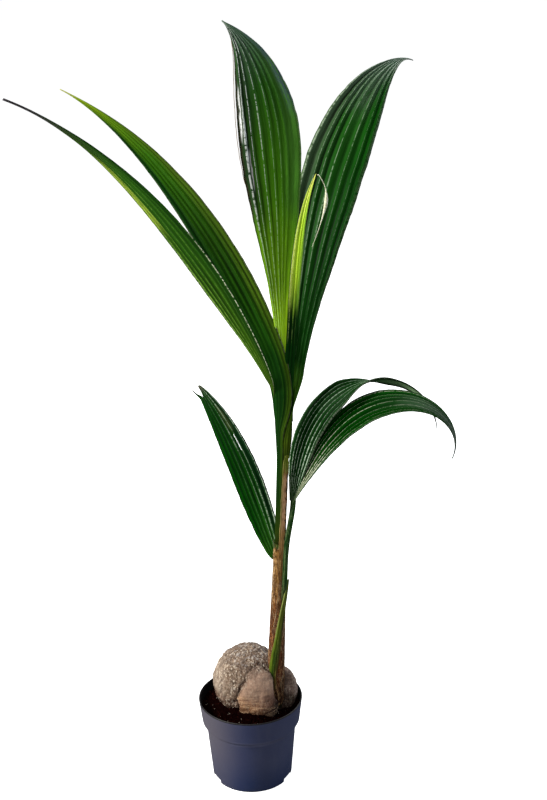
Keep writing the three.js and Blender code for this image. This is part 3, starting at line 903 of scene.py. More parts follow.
def move_points(piece, points):
    piece.data.vertices.foreach_set("co", (np.asarray(points) * MM).ravel())
    piece.data.update()


def wear(piece, slot, *nodes):
    """Puts a finished piece on the plant's one body, in place of the CAD nodes that it stands for."""
    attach(piece, "root")
    if nodes:
        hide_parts(*nodes)


def smooth(value, start, end):
    share = np.clip((np.asarray(value, float) - start) / (end - start), 0, 1)
    return share * share * (3 - 2 * share)


def fade(factor, first, second):
    """Mixes two colours by an array of factors."""
    factor = np.asarray(factor, float)[..., None]
    return np.asarray(first) * (1 - factor) + np.asarray(second) * factor


def layered(colour, *coats):
    """Lays coats of colour over painted ones, each by its own array of factors."""
    for factor, coat in coats:
        colour = fade(factor, colour, eye(*coat))
    return colour


def part_way(ends, share):
    return ends[0] + (ends[1] - ends[0]) * share


def rough_noise(points, size, octaves=3):
    """Fractal noise from about -1 to 1 at points in millimetres, with features of a size."""
    return np.array([noise.fractal(Vector(p) / size, 1.0, 2.0, octaves) for p in np.asarray(points)])


def grid_faces(columns, rows, closed=False):
    """Faces of a grid whose points run row by row within each column."""
    faces = []
    for i in range(columns if closed else columns - 1):
        j = (i + 1) % columns
        for k in range(rows - 1):
            faces.append((i * rows + k, j * rows + k, j * rows + k + 1, i * rows + k + 1))
    return faces


def tube_faces(columns, rows):
    """Faces of a grid that is closed round and has a flat end at its foot and its top."""
    foot = [i * rows for i in reversed(range(columns))]
    top = [i * rows + rows - 1 for i in range(columns)]
    return grid_faces(columns, rows, closed=True) + [foot, top]


def lathe(profile, sides):
    """Points and faces of a shape turned about the pot's axis; the profile runs from axis to axis."""
    angles = np.arange(sides) * 2 * math.pi / sides
    ring = profile[1:-1]
    points = [(r * math.cos(a), r * math.sin(a), z) for a in angles for r, z in ring]
    faces = grid_faces(sides, len(ring), closed=True)
    low = len(points)
    points += [(0, 0, profile[0][1]), (0, 0, profile[-1][1])]
    rows = len(ring)
    for i in range(sides):
        j = (i + 1) % sides
        faces.append((low, j * rows, i * rows))
        faces.append((low + 1, i * rows + rows - 1, j * rows + rows - 1))
    return points, faces


# Pot and potting mix

def side_profile(inset, foot, top):
    """Radius and height along the pot's side, from a height to another, set in by a distance."""
    heights = {foot, top, *np.linspace(foot, SHOULDER_FOOT, 12), *np.linspace(COLLAR_FOOT, top, 8)}
    heights.update(np.linspace(SHOULDER_FOOT, COLLAR_FOOT, 12))
    points = []
    for z in sorted(height for height in heights if foot <= height <= top):
        if z <= SHOULDER_FOOT:
            radius = POT_BASE_RADIUS + (SHOULDER_FOOT_RADIUS - POT_BASE_RADIUS) * z / SHOULDER_FOOT
        elif z <= COLLAR_FOOT:
            lift = smooth(z, SHOULDER_FOOT, COLLAR_FOOT)
            radius = part_way((SHOULDER_FOOT_RADIUS, COLLAR_FOOT_RADIUS), lift)
        else:
            radius = COLLAR_FOOT_RADIUS + COLLAR_SLOPE * (z - COLLAR_FOOT)
        points.append((float(radius - inset), float(z)))
    return points


def side_block(bearing, near, far, width, foot, top):
    """A block that faces out of the pot's side at a bearing."""
    corners = [(x, y, z) for x in (near, far) for y in (-width / 2, width / 2) for z in (foot, top)]
    turn = Matrix.Rotation(math.radians(bearing), 3, "Z")
    faces = [(0, 1, 3, 2), (4, 6, 7, 5), (0, 4, 5, 1), (2, 3, 7, 6), (0, 2, 6, 4), (1, 5, 7, 3)]
    return new_piece("block", [turn @ Vector(corner) for corner in corners], faces)


def make_pot(material):
    wall, rim, top, base = POT_WALL, POT_RIM_RADIUS, POT_HEIGHT, POT_BASE_RADIUS
    outside = [(0, 0), (base - 3, 0), (base - 1.2, 0.4), (base - 0.2, 1.6), *side_profile(0, 3, top - 1.6)]
    outside += [(rim - 0.2, top - 0.6), (rim - 0.8, top), (rim - wall + 0.8, top)]
    outside += [(rim - wall + 0.2, top - 0.6), (rim - wall - 0.1, top - 1.8), (0, top - 1.8)]
    pot = new_piece("pot_shell", *lathe(outside, POT_SIDES), material)
    inside = [(0, POT_FLOOR), *side_profile(wall, POT_FLOOR, top - 1.81)]
    inside += [(rim - wall, top + 5), (0, top + 5)]
    hollow = new_piece("hollow", *lathe(inside, POT_SIDES))
    for bearing in RECESS_BEARINGS:
        grown = (RECESS_PLANE - wall, rim, RECESS_WIDTH + 2 * wall, -1, RECESS_HEIGHT + wall)
        cut(hollow, side_block(bearing, *grown))
        cut(pot, side_block(bearing, RECESS_PLANE, rim + 9, RECESS_WIDTH, -1, RECESS_HEIGHT))
    cut(pot, hollow)
    for bearing in RECESS_BEARINGS:
        cut(pot, side_block(bearing, RECESS_PLANE - 2 * wall, rim, DRAIN_WIDTH, DRAIN_FOOT, DRAIN_TOP))
    pot.data.shade_smooth()
    pot.data.set_sharp_from_angle(angle=math.radians(32))
    wear(pot, "pot_plastic", "pot")


def lobe_turn(lobe):
    return np.array(Matrix.Rotation(math.radians(lobe["lean"]), 3, "Y"))


def lobe_reach(points, lobe):
    """How far out points are from a lobe's middle, where 1 is on its surface."""
    out = (points - np.array(lobe["centre"])) @ lobe_turn(lobe) / np.array(lobe["radii"])
    return np.linalg.norm(out, axis=1)


def lobe_hits(directions, lobe):
    """Where rays from the nut's heart enter and leave a lobe."""
    turn = lobe_turn(lobe)
    start = (NUT_HEART - np.array(lobe["centre"])) @ turn / np.array(lobe["radii"])
    step = directions @ turn / np.array(lobe["radii"])
    a = (step**2).sum(axis=1)
    b = step @ start
    inside = b**2 - a * (start @ start - 1)
    root = np.sqrt(np.maximum(inside, 0))
    met = (inside > 0) & (root > b)
    return np.where(met, (-b - root) / a, 1e3), np.where(met, (-b + root) / a, 0)


def make_soil(material, pale):
    """The heaped mix, with crumbs and pale bits strewn over its open top."""
    wall = side_profile(SOIL_INSET, POT_FLOOR + 0.5, SOIL_LEVEL)
    radius = wall[-1][0]
    rings = [(r, SOIL_LEVEL) for r in np.linspace(radius, 2, SOIL_RINGS)]
    profile = [(0, wall[0][1]), *wall[:-1], *rings, (0, SOIL_LEVEL)]
    soil = new_piece("potting_mix", *lathe(profile, SOIL_SIDES), material)
    points = points_of(soil)
    top = points[:, 2] > SOIL_LEVEL - 0.01
    lumps = 2.6 * rough_noise(points[top], 16, 4) + 1.1 * rough_noise(points[top] + 40, 4, 2)
    points[top, 2] += lumps - 0.8
    far = np.hypot(points[:, 0], points[:, 1])
    clear = np.min([lobe_reach(points, lobe) for lobe in NUT_LOBES], axis=0)
    against_nut = np.exp(-((np.maximum(clear, 1) - 1) / 0.22) ** 2)
    heap = SOIL_HEAP * against_nut * smooth(points[:, 0], 46, 4) * smooth(far, radius, radius - 14)
    points[top, 2] += heap[top]
    move_points(soil, points)
    mark(soil, "tint", np.zeros(len(points)))
    wear(soil, "potting_mix", "soil")
    faces = [p.vertices[:] for p in soil.data.polygons]
    near_left = np.clip(0.25 + smooth(points[:, 0], 25, -20) * smooth(points[:, 1], 0, -30), 0, 1)
    for name, ground, density, smallest, largest, seed, finish in (
        ("soil_crumbs", (clear > 1.0) * (far < radius - 3), 150000, 0.7, 2.6, 3, material),
        ("soil_pale_bits", (clear > 1.02) * (far < radius - 4) * near_left, 6000, 0.6, 1.8, 11, pale),
    ):
        bits = new_piece(name, points, faces)
        mark(bits, "open", top * ground)
        sizes = {"Smallest": smallest * MM, "Largest": largest * MM}
        grow(bits, CRUMBS, {"Density": density, **sizes, "Seed": seed, "Finish": finish})
        wear(bits, "potting_mix")


def build_crumbs():
    """Small lumps strewn over the open part of a surface, each turned and stretched by chance."""
    g, given, result = new_group(
        "strewn_crumbs", "GeometryNodeTree",
        [("Ground", "Geometry"), ("Seed", "Int"), ("Finish", "Material")]
        + floats("Density", "Smallest", "Largest"),
        [("Crumbs", "Geometry")],
    )
    strewn = g.strew(given["Ground"], given["Density"], "open", given["Seed"])
    lump = g.node("GeometryNodeMeshIcoSphere", {"Radius": 1.0, "Subdivisions": 1}).outputs["Mesh"]
    place = g.value("GeometryNodeInputPosition")
    dent = g.times_plus(g.noise(place, 1.4, 1.0), 1.1, 0.45)
    shaped = g.value("GeometryNodeSetPosition", lump, None, g.vector("SCALE", place, dent))
    size = g.chance(given["Smallest"], given["Largest"], given["Seed"])
    stretch = g.chance((0.5, 0.4, 0.35), (1.3, 1.0, 0.8), 21, "FLOAT_VECTOR")
    spin = g.chance((-0.6, -0.6, 0.0), (0.6, 0.6, 6.28), 5, "FLOAT_VECTOR")
    scale = g.vector("SCALE", stretch, size)
    lumps = g.value("GeometryNodeInstanceOnPoints", strewn["Points"], None, shaped, None, None, spin, scale)
    lumps = g.keep(lumps, "tint", g.math("POWER", g.chance(0.0, 1.0, 9), 4.0), domain="INSTANCE")
    g.feed(result["Crumbs"], g.finish(lumps, given["Finish"]))
    return g.tree


def build_strand():
    """Round threads along the edges of a mesh, as thick as its girth attribute says."""
    g, given, result = new_group(
        "strand", "GeometryNodeTree", [("Paths", "Geometry"), ("Sides", "Int"), ("Finish", "Material")],
        [("Strands", "Geometry")],
    )
    curve = g.value("GeometryNodeMeshToCurve", given["Paths"])
    g.feed(result["Strands"], g.finish(g.tube(curve, given["Sides"], g.named("girth")), given["Finish"]))
    return g.tree


def build_fuzz():
    """Short bent fibres strewn over a surface, thickest where its fuzz attribute is high."""
    g, given, result = new_group(
        "loose_fuzz", "GeometryNodeTree",
        [("Skin", "Geometry"), ("Seed", "Int"), ("Finish", "Material")]
        + floats("Density", "Length", "Girth"),
        [("Fuzz", "Geometry")],
    )
    strewn = g.strew(given["Skin"], given["Density"], "fuzz", given["Seed"])
    arc = g.node(
        "GeometryNodeCurveQuadraticBezier",
        {"Resolution": 4, "Start": (0.0, 0.0, -0.03), "Middle": (0.45, 0.1, 0.22), "End": (1.0, 0.0, 0.06)},
    ).outputs["Curve"]
    taper = g.minus(1.0, g.times(g.node("GeometryNodeSplineParameter").outputs["Factor"], 0.75))
    hair = g.tube(arc, 3, g.times(taper, g.math("DIVIDE", given["Girth"], given["Length"])))
    size = g.times(g.chance(0.35, 1.0, 2), given["Length"])
    turn = g.value("FunctionNodeAxisAngleToRotation", (0.0, 0.0, 1.0), g.chance(0.0, 6.28, given["Seed"]))
    stand = g.node(
        "FunctionNodeRotateRotation", {"Rotation": strewn["Rotation"], "Rotate By": turn},
        rotation_space="LOCAL",
    ).outputs["Rotation"]
    scale = g.xyz(size, size, size)
    hairs = g.value("GeometryNodeInstanceOnPoints", strewn["Points"], None, hair, None, None, stand, scale)
    g.feed(result["Fuzz"], g.finish(hairs, given["Finish"]))
    return g.tree


CRUMBS = build_crumbs()
STRAND = build_strand()
FUZZ = build_fuzz()


def make_strands(name, paths, material, sides=5):
    """Threads along paths, each a list of points in millimetres with a girth at every point."""
    points = []
    edges = []
    girths = []
    for path, girth in paths:
        edges += [(len(points) + i, len(points) + i + 1) for i in range(len(path) - 1)]
        points += [tuple(p) for p in path]
        girths += list(np.broadcast_to(girth, len(path)))
    piece = new_piece(name, points, [], None, edges)
    mark(piece, "girth", np.array(girths) * MM)
    return grow(piece, STRAND, {"Sides": sides, "Finish": material})


# Nut

def soft_max(values, sharpness):
    top = values.max(axis=0)
    return top + np.log(np.exp((values - top) * sharpness).sum(axis=0)) / sharpness


def husk_parts(out):
    """Along rays from the nut's heart: how far the husk goes, and how much of it is each part's."""
    body, bulb, side = [lobe_hits(out, lobe)[1] for lobe in NUT_LOBES]
    dent = smooth(out @ np.array((-0.62, -0.2, 0.76)), 0.7, 1)
    body = body - 4 * dent + 1.6 * rough_noise(out * 70, 30, 2)
    bearing = np.degrees(np.arctan2(out[:, 1], out[:, 0]))
    rise = np.degrees(np.arcsin(out[:, 2]))
    arc = np.clip(1 - (np.maximum(rise, 0) / FRONT_LOBE_TOP) ** 2, 0, 1)
    left = FRONT_LOBE_LEFT[0] + FRONT_LOBE_LEFT[1] * np.sqrt(arc)
    right = FRONT_LOBE_RIGHT[0] + FRONT_LOBE_RIGHT[1] * arc**0.6 - 7 * smooth(rise, 0, -25)
    inset = np.min([bearing - left, right - bearing, FRONT_LOBE_TOP - rise], axis=0)
    inset += 4 * rough_noise(out * 60, 13, 4)
    on_left = smooth((right - bearing) - (bearing - left), -4, 10) * smooth(rise, 62, 30)
    patch = smooth(inset, -1.5, 4.5)
    bare = smooth(inset + 3 * rough_noise(out * 60, 6, 2), -3, 13) * (1 - 0.6 * smooth(rise, 46, 66))
    swollen = body + 6.5 * (1 - np.exp(-np.maximum(inset, 0) / 8)) * (1 - 0.8 * smooth(rise, 22, 58))
    front = soft_max(np.array([swollen, bulb]), NUT_BLEND)
    groove = np.exp(-((inset / 2.6) ** 2)) * (0.35 + 0.65 * on_left)
    outer = body + (front - body) * patch - 3.4 * groove
    beside = 1 / (1 + np.exp(np.clip((outer - side) * 0.5, -30, 30)))
    seam = np.maximum(groove * (1 - beside), np.exp(-(((outer - side) / 3.0) ** 2)))
    reach = soft_max(np.array([outer, side]), NUT_BLEND)
    entry = np.min([lobe_hits(out, cleft)[0] for cleft in NUT_CLEFTS], axis=0)
    within = smooth(reach - entry, -2, 6)
    reach = -soft_max(np.array([-reach, -np.maximum(entry, 8)]), NUT_BLEND)
    return SimpleNamespace(
        reach=reach, within=within, body=(1 - patch) * (1 - beside), front=patch * (1 - beside), side=beside,
        bare=bare, on_left=on_left, seam=seam,
    )


def paint_husk(nut, points, husk):
    """The husk's colours, painted shade and light among them, and the marks that its material reads."""
    x, y, height = points.T
    rough, wavy = husk.rough, husk.wavy
    tone = rough_noise(points, 24, 3)
    fibrous = husk.body + husk.front * (1 - husk.bare)
    crest = smooth(height, 225, 250) * fibrous
    frayed = husk.front * smooth(height + 6 * wavy + 0.35 * (x - 20), 194, 158)
    shaded_side = smooth(x + 5 * wavy, 84, 68) * smooth(height, 218, 196)
    parts = np.stack([fibrous, husk.front * husk.bare, husk.side], 1)
    paint(nut, "husk_colour", layered(
        np.tensordot(parts, np.array([eye(124, 104, 88), eye(168, 137, 116), eye(140, 118, 106)]), 1),
        (smooth(tone, 0.0, 0.6) * 0.5 * fibrous, (92, 78, 70)),
        # Painted shade in the dips of the waves and painted highlight on their crests
        (smooth(-wavy, 0.1, 0.7) * 0.4 * rough, (66, 50, 42)),
        (smooth(wavy, 0.15, 0.7) * 0.25 * rough, (176, 156, 134)),
        # Painted shade: darker towards the right and the front
        (smooth(x, -34, 20) * fibrous * smooth(-y, -5, 25) * 0.6, (78, 55, 44)),
        (smooth(height, 200, 240) * 0.55 * husk.front, (112, 94, 84)),
        (husk.side * shaded_side * 0.72, (46, 24, 20)),
        (crest * smooth(rough_noise(points, 5, 3), 0.0, 0.4) * 0.6, (62, 54, 52)),
        (crest * smooth(rough_noise(points + 60, 4, 3), 0.1, 0.5) * 0.6, (196, 190, 186)),
        (frayed * 0.75, (146, 98, 60)),
        # Painted light: the left side lighter
        (fibrous * smooth(x + 5 * wavy, -38, -58) * smooth(height, 160, 190) * 0.42, (196, 178, 160)),
        # Painted shade on the front lobe's right part
        (husk.front * smooth(x + 6 * wavy, 6, 36) * smooth(height, 212, 180) * 0.75, (84, 50, 40)),
        (fibrous * smooth(height + 7 * tone, 188, 168) * 0.6, (98, 60, 44)),
        # Painted shade along the front lobe's lower band, and deep shade at its lower right end
        (husk.front * smooth(height + 5 * wavy, 166, 150) * 0.6, (72, 42, 29)),
        (husk.front * smooth(x + 3 * wavy, 34, 46) * smooth(height, 196, 164), (20, 9, 8)),
        (smooth(height + 6 * tone, 172, 156) * (0.85 - 0.45 * husk.front), (34, 20, 15)),
        # Painted shade in the wrinkles, in the grooves between the lobes and inside the clefts
        (husk.wrinkle * 0.5, (58, 44, 38)),
        (husk.seam * (0.35 + 0.5 * husk.on_left), (52, 34, 25)),
        (husk.within * 0.85, (34, 22, 16)),
    ))
    mark(nut, "rough", rough * (1 - 0.8 * husk.within))
    mark(nut, "frayed", np.clip(frayed * 1.3, 0, 1))


def make_nut(material, fuzz_material):
    """The husk: three lobes with grooves between them, the open clefts, and loose fuzz over its skin."""
    nut = new_piece("husk", [], [])
    ball = bmesh.new()
    bmesh.ops.create_icosphere(ball, subdivisions=7, radius=1.0)
    ball.to_mesh(nut.data)
    ball.free()
    out = points_of(nut) * MM
    out /= np.linalg.norm(out, axis=1)[:, None]
    husk = husk_parts(out)
    points = NUT_HEART + out * husk.reach[:, None]
    rough = np.clip(husk.body + (1 - 0.85 * husk.bare) * husk.front + 0.6 * husk.side, 0, 1)
    wavy = rough_noise(points * (1, 1, 0.45) + 30, 7, 3)
    wrinkle = np.exp(-((rough_noise(points * (1, 1, 0.36) + 90, 9, 2) / 0.13) ** 2))
    wrinkle *= rough * (0.2 + 0.8 * smooth(points[:, 0] + 4 * wavy, -52, -30))
    relief = rough * (1.7 * rough_noise(points, 15, 4) + 1.9 * wavy) - 0.7 * wrinkle
    relief += rough * 0.6 * rough_noise(points, 2.4, 2)
    waves = 0.8 * rough_noise(points * (0.6, 0.6, 1.2), 14, 3)
    relief += husk.front * (waves + 0.25 * rough_noise(points, 3, 2))
    points += out * (relief * (1 - 0.6 * husk.within))[:, None]
    move_points(nut, points)
    husk.rough, husk.wavy, husk.wrinkle = rough, wavy, wrinkle
    paint_husk(nut, points, husk)
    nut.data.materials.append(material)
    nut.data.shade_smooth()
    wear(nut, "husk", "coconut")
    skin = new_piece("husk_fuzz", points, [p.vertices[:] for p in nut.data.polygons])
    x, y, height = points.T
    torn = np.exp(-((x - 34) ** 2 + (height - 150) ** 2) / 220) * (y < -20)
    mark(skin, "fuzz", (height > SOIL_LEVEL + 3) * (1 - husk.within) * (0.2 * rough + 2.5 * torn))
    hair = {"Length": 8 * MM, "Girth": 0.15 * MM}
    grow(skin, FUZZ, {"Density": 26000, **hair, "Seed": 4, "Finish": fuzz_material})
    wear(skin, "husk")


# Stem, sheath, strip, spike and stalk

def stem_at(height):
    """Middle and radius of the stem at heights."""
    height = np.asarray(height, float)
    share = (height - STEM_FOOT[2]) / (STEM_TOP[2] - STEM_FOOT[2])
    middle = STEM_FOOT + (STEM_TOP - STEM_FOOT) * share[..., None]
    radius = STEM_FOOT_RADIUS + (STEM_WAIST_RADIUS - STEM_FOOT_RADIUS) * smooth(share / STEM_WAIST, 0, 1)
    above = np.clip((share - STEM_FLARE) / (1 - STEM_FLARE), 0, 1)
    return middle, radius + (STEM_TOP_RADIUS - radius) * above**STEM_FLARE_POWER


def beside_stem(height, bearing, distance):
    """Points beside the stem: heights, compass bearings and distances from its bark."""
    middle, radius = stem_at(height)
    angle = np.radians(bearing)
    reach = radius + distance
    return middle + np.stack([reach * np.cos(angle), reach * np.sin(angle), 0 * reach], -1)


def bearing_of(points):
    """Compass bearings of points round the stem."""
    off = points - stem_at(points[:, 2])[0]
    return np.degrees(np.arctan2(off[:, 1], off[:, 0]))


def make_stem(material):
    below = np.linspace(STEM_FOOT[2], STEM_TOP[2], 200)
    heights = np.concatenate([below, np.linspace(STEM_TOP[2] + 4, STEM_CROWN_TOP, 8)])
    inset = 11 * smooth(heights, 650, 720)
    columns = []
    for bearing in np.arange(STEM_SIDES) * 360 / STEM_SIDES:
        ridge = 0.18 * np.sin(np.radians(bearing * 11)) + 0.12 * np.sin(np.radians(bearing * 23 + 40))
        columns.append(beside_stem(heights, np.full(len(heights), bearing), ridge - inset))
    points = np.concatenate(columns)
    stem = new_piece("stem_bark", points, tube_faces(STEM_SIDES, len(heights)), material)
    height = points[:, 2]
    bearing = bearing_of(points)
    patch = rough_noise(points * (1, 1, 0.12), 7, 3)
    left = np.exp(-((np.abs(bearing) - 168) / 24) ** 2)
    fresh = smooth(bearing, -75, -45) * smooth(bearing, 80, 20)
    paint(stem, "bark_colour", layered(
        fade(smooth(height + 30 * patch, 380, 480), eye(86, 58, 32), eye(42, 55, 9)),
        # Painted highlight: a lighter green band down the stem's left side
        (left * smooth(height, 440, 520), (56, 82, 13)),
        (smooth(height, 204, 182), (22, 12, 8)),
        (fresh * smooth(height, 596, 622), (112, 134, 20)),
        (smooth(height + 8 * patch, 668, 700), (40, 80, 14)),
    ))
    wear(stem, "stem_green", "stem")


def sheath_top(bearing):
    facing = np.cos(np.radians(bearing - SHEATH_TONGUE_BEARING))
    return SHEATH_LOW_TOP + (SHEATH_TONGUE_TOP - SHEATH_LOW_TOP) * smooth(facing, 0.1, 0.75)


def make_sheath(material):
    """The torn mat round the stem's foot."""
    shares = np.linspace(0, 1, SHEATH_ROWS)
    columns = []
    for bearing in np.arange(SHEATH_SIDES) * 360 / SHEATH_SIDES:
        turn = math.radians(bearing)
        ring = Vector((math.cos(turn), math.sin(turn), 0))
        tear = 9 * noise.fractal(ring * 4.5, 1.0, 2.0, 4) + 5 * noise.noise(ring * 17)
        heights = part_way((SHEATH_FOOT, sheath_top(bearing) - 4 + tear), shares)
        around = np.full(SHEATH_ROWS, bearing)
        place = beside_stem(heights, around, SHEATH_LIFT + SHEATH_THICKNESS / 2)
        lift = 0.7 * rough_noise(place * (1, 1, 0.15), 4, 3)
        lift += 0.9 * smooth(shares, 0.93, 1) * noise.noise(ring * 9)
        columns.append(beside_stem(heights, around, SHEATH_LIFT + SHEATH_THICKNESS / 2 + lift))
    points = np.concatenate(columns)
    sheath = new_piece("sheath_mat", points, grid_faces(SHEATH_SIDES, SHEATH_ROWS, closed=True), material)
    height = points[:, 2]
    bearing = bearing_of(points)
    patch = rough_noise(points * (1, 1, 0.2), 6, 3)
    knots = rough_noise(points, 2.4, 2)
    worn = np.exp(-(((bearing % 360) - 200) / 22) ** 2) * smooth(height, 310, 380)
    paint(sheath, "bark_colour", layered(
        fade(smooth(height + 25 * patch, 310, 400), eye(110, 50, 12), eye(128, 92, 42)),
        (smooth(patch, 0.1, 0.7) * 0.5, (60, 30, 10)),
        (smooth(knots, 0.1, 0.4) * 0.6, (50, 24, 9)),
        (smooth(-knots, 0.15, 0.45) * 0.3, (172, 112, 58)),
        (smooth(height, 226, 184) * 0.85, (34, 16, 9)),
        (smooth(bearing, -75, -35) * smooth(bearing, 110, 60) * 0.75, (48, 26, 12)),
        (worn * smooth(knots, -0.1, -0.35) * 0.65, (222, 202, 170)),
        (worn * smooth(knots, 0.1, 0.3) * 0.8, (46, 26, 12)),
    ))
    thicken(sheath, SHEATH_THICKNESS)
    wear(sheath, "sheath_fibre", "fibre_sheath")


def make_sheath_threads(brown_material, pale_material):
    """The threads that are woven over the mat, and the loose ends at its top."""
    rng = np.random.default_rng(12)
    brown = []
    pale = []
    for i in range(SHEATH_THREADS):
        start = rng.uniform(0, 360)
        turn = rng.choice((-1, 1)) * rng.uniform(15, 95)
        low = rng.uniform(SHEATH_FOOT + 4, 330)
        high = min(low + rng.uniform(40, 130), sheath_top(start + turn) + 6)
        if high - low < 20:
            continue
        share = np.linspace(0, 1, 16)
        weave = 0.35 * np.sin(share * rng.uniform(9, 16) + rng.uniform(0, 6))
        stand = SHEATH_LIFT + SHEATH_THICKNESS + 0.15 + weave
        path = beside_stem(part_way((low, high), share), start + turn * share, stand)
        (pale if i % 5 == 0 else brown).append((path, rng.uniform(0.16, 0.34)))
    for i in range(SHEATH_LOOSE_ENDS):
        bearing = rng.uniform(0, 360)
        top = float(sheath_top(bearing)) - 10
        share = np.linspace(0, 1, 8)
        stand = SHEATH_LIFT + 1.4 + rng.uniform(0.3, 3.5) * share**2
        path = beside_stem(top + rng.uniform(10, 26) * share, bearing + rng.uniform(-14, 14) * share, stand)
        (pale if i % 3 == 0 else brown).append((path, np.linspace(0.24, 0.08, 8)))
    wear(make_strands("sheath_fibres", brown, brown_material, 4), "sheath_fibre")
    wear(make_strands("sheath_pale_fibres", pale, pale_material, 4), "sheath_fibre")


def wrap_grid(wrap, shape):
    """A patch round part of the stem; shape gives its half spread and its lift at across and share."""
    columns, rows = wrap["columns"], wrap["rows"]
    across, share = np.meshgrid(np.linspace(-1, 1, columns), np.linspace(0, 1, rows), indexing="ij")
    spread, lift = shape(across, share)
    bearing = part_way(wrap["bearing"], share) + across * spread
    height = part_way((wrap["foot"], wrap["top"]), share)
    place = beside_stem(height, bearing, wrap["lift"] + wrap["thickness"] / 2 + lift)
    return across.ravel(), share.ravel(), place.reshape(-1, 3), grid_faces(columns, rows)


def make_strip(material):
    def shape(across, share):
        ragged = 1 + 0.10 * np.sin(share * 47) * np.sin(share * 19 + 1) - 0.5 * smooth(share, 0.94, 1)
        curl = 1.6 * np.abs(across) ** 5 * smooth(share, 0.05, 0.3)
        return part_way(STRIP["spread"], share) * ragged, curl + 0.25 * np.sin(across * 9 + share * 7)

    across, share, points, faces = wrap_grid(STRIP, shape)
    strip = new_piece("dry_leaf_strip", points, faces, material)
    patch = rough_noise(points * (1, 1, 0.12), 5, 3)
    blotch = rough_noise(points * (1, 1, 0.5), 3.2, 2)
    place = share + 0.06 * patch
    paint(strip, "bark_colour", layered(
        fade(smooth(place, 0.08, 0.3), eye(124, 84, 46), eye(158, 116, 68)),
        (smooth(place, 0.48, 0.6), (198, 152, 112)),
        (smooth(blotch, 0.1, 0.4) * 0.5 * smooth(place, 0.4, 0.55), (120, 84, 54)),
        (smooth(place, 0.82, 0.88), (126, 92, 30)),
        (smooth(place + 0.03 * blotch, 0.87, 0.92), (98, 116, 18)),
        (smooth(across + 0.45 * blotch, 0.45, 0.75) * smooth(place, 0.95, 0.85), (42, 26, 14)),
        (smooth(-across + 0.25 * patch, 0.45, 1.0) * smooth(share, 0.3, 0.6) * 0.7, (96, 108, 38)),
    ))
    thicken(strip, STRIP["sheet"])
    wear(strip, "dry_leaf_base", "dry_strip")


def make_spike(material):
    def shape(across, share):
        ribs = 0.5 * np.sin(across * 10) * (1 - share) + 1.2 * (1 - across**2) * (1 - share)
        return part_way(SPIKE["spread"], share**1.35), ribs + 5.5 * smooth(share, 0.5, 1)

    across, share, points, faces = wrap_grid(SPIKE, shape)
    spike = new_piece("green_spike", points, faces, material)
    patch = rough_noise(points * (1, 1, 0.1), 5, 3)
    paint(spike, "bark_colour", layered(
        fade(smooth(share, 0.25, 0.7), eye(30, 54, 4), eye(84, 92, 20)),
        (smooth(-across + 0.3 * patch, 0.1, 0.6) * smooth(share, 0.8, 0.4), (78, 98, 16)),
        (smooth(-across, 0.5, 0.95) * smooth(share, 0.3, 0.6), (150, 162, 84)),
        (smooth(-across + 0.2 * patch, 0.75, 0.95) * smooth(share, 0.35, 0.15), (104, 56, 28)),
        (smooth(across + 0.3 * patch, 0.2, 0.7) * smooth(share, 0.95, 0.6) * 0.9, (52, 50, 10)),
        (smooth(across + 0.2 * patch, 0.75, 0.95) * smooth(share, 0.7, 0.4), (84, 44, 24)),
        (smooth(share + 0.05 * patch, 0.16, 0.04), (62, 50, 18)),
    ))
    thicken(spike, SPIKE["sheet"])
    wear(spike, "young_leaf", "front_spike")


def make_stalk(material):
    height = np.linspace(STALK_FOOT, STALK_TOP + 6, STALK_ROWS)
    share = np.clip((height - STALK_FREE) / (STALK_TOP - STALK_FREE), 0, 1)
    sunk = smooth(height, STALK_FREE, STALK_FOOT)
    radius = part_way(STALK_RADII, share) * (1 - 0.55 * sunk)
    leave = np.clip((height - STALK_TURN) / (STALK_TOP - STALK_TURN), 0, 1)
    stand = (radius + 2.2) * (1 - sunk) - 0.6 * sunk + STALK_STAND_OFF * leave**3
    middle = beside_stem(height, part_way(STALK_BEARINGS, leave**2.4), stand)
    angles = np.arange(STALK_SIDES) * 2 * math.pi / STALK_SIDES
    columns = []
    for angle in angles:
        groove = radius * (1 - 0.10 * math.cos(angle * 3) ** 2)
        off = np.stack([groove * math.cos(angle), groove * math.sin(angle), 0 * groove], -1)
        columns.append(middle + off)
    faces = tube_faces(STALK_SIDES, STALK_ROWS)
    stalk = new_piece("frond_stalk", np.concatenate(columns), faces, material)
    facing = np.repeat(np.cos(angles - math.radians(-20)), STALK_ROWS)
    height = np.tile(height, STALK_SIDES)
    paint(stalk, "bark_colour", layered(
        fade(smooth(height, 345, 410), eye(60, 52, 24), eye(13, 48, 7)),
        (smooth(facing, 0.3, 0.9) * 0.6, (34, 72, 18)),
        # Painted highlight on the stalk's upper left
        (smooth(-facing, 0.3, 0.9) * 0.6 * smooth(height, 470, 520), (120, 138, 104)),
    ))
    wear(stalk, "leaf", "right_stalk")


# Fronds

FROND_INPUTS = [
    ("Across", "Int"), ("Along", "Int"), ("Pleats", "Int"), ("Foot", "Vector"), ("Finish", "Material"),
] + floats(
    "Heading", "Swing", "Rise", "Fall", "Bend", "Neck", "Foot Roll", "Tip Roll", "Length", "Half Width",
    "Base", "Swell", "Close", "Tip Width", "Pleat Depth", "Cup", "Waves", "Seed", "Wrap End", "Wrap Foot",
    "Wrap Bearing", "Wrap Spread", "Wrap Twist", "Wrap Lift", "Wrap Drop", "Wrap Closed", "Wrap Opens",
    "Wrap Opened", "Twist", "Twist Start", "Twist End", "Slit Place", "Slit Start", "Slit End",
    "Slit Width", "Fork", "Fork Place", "Prong Out",
)


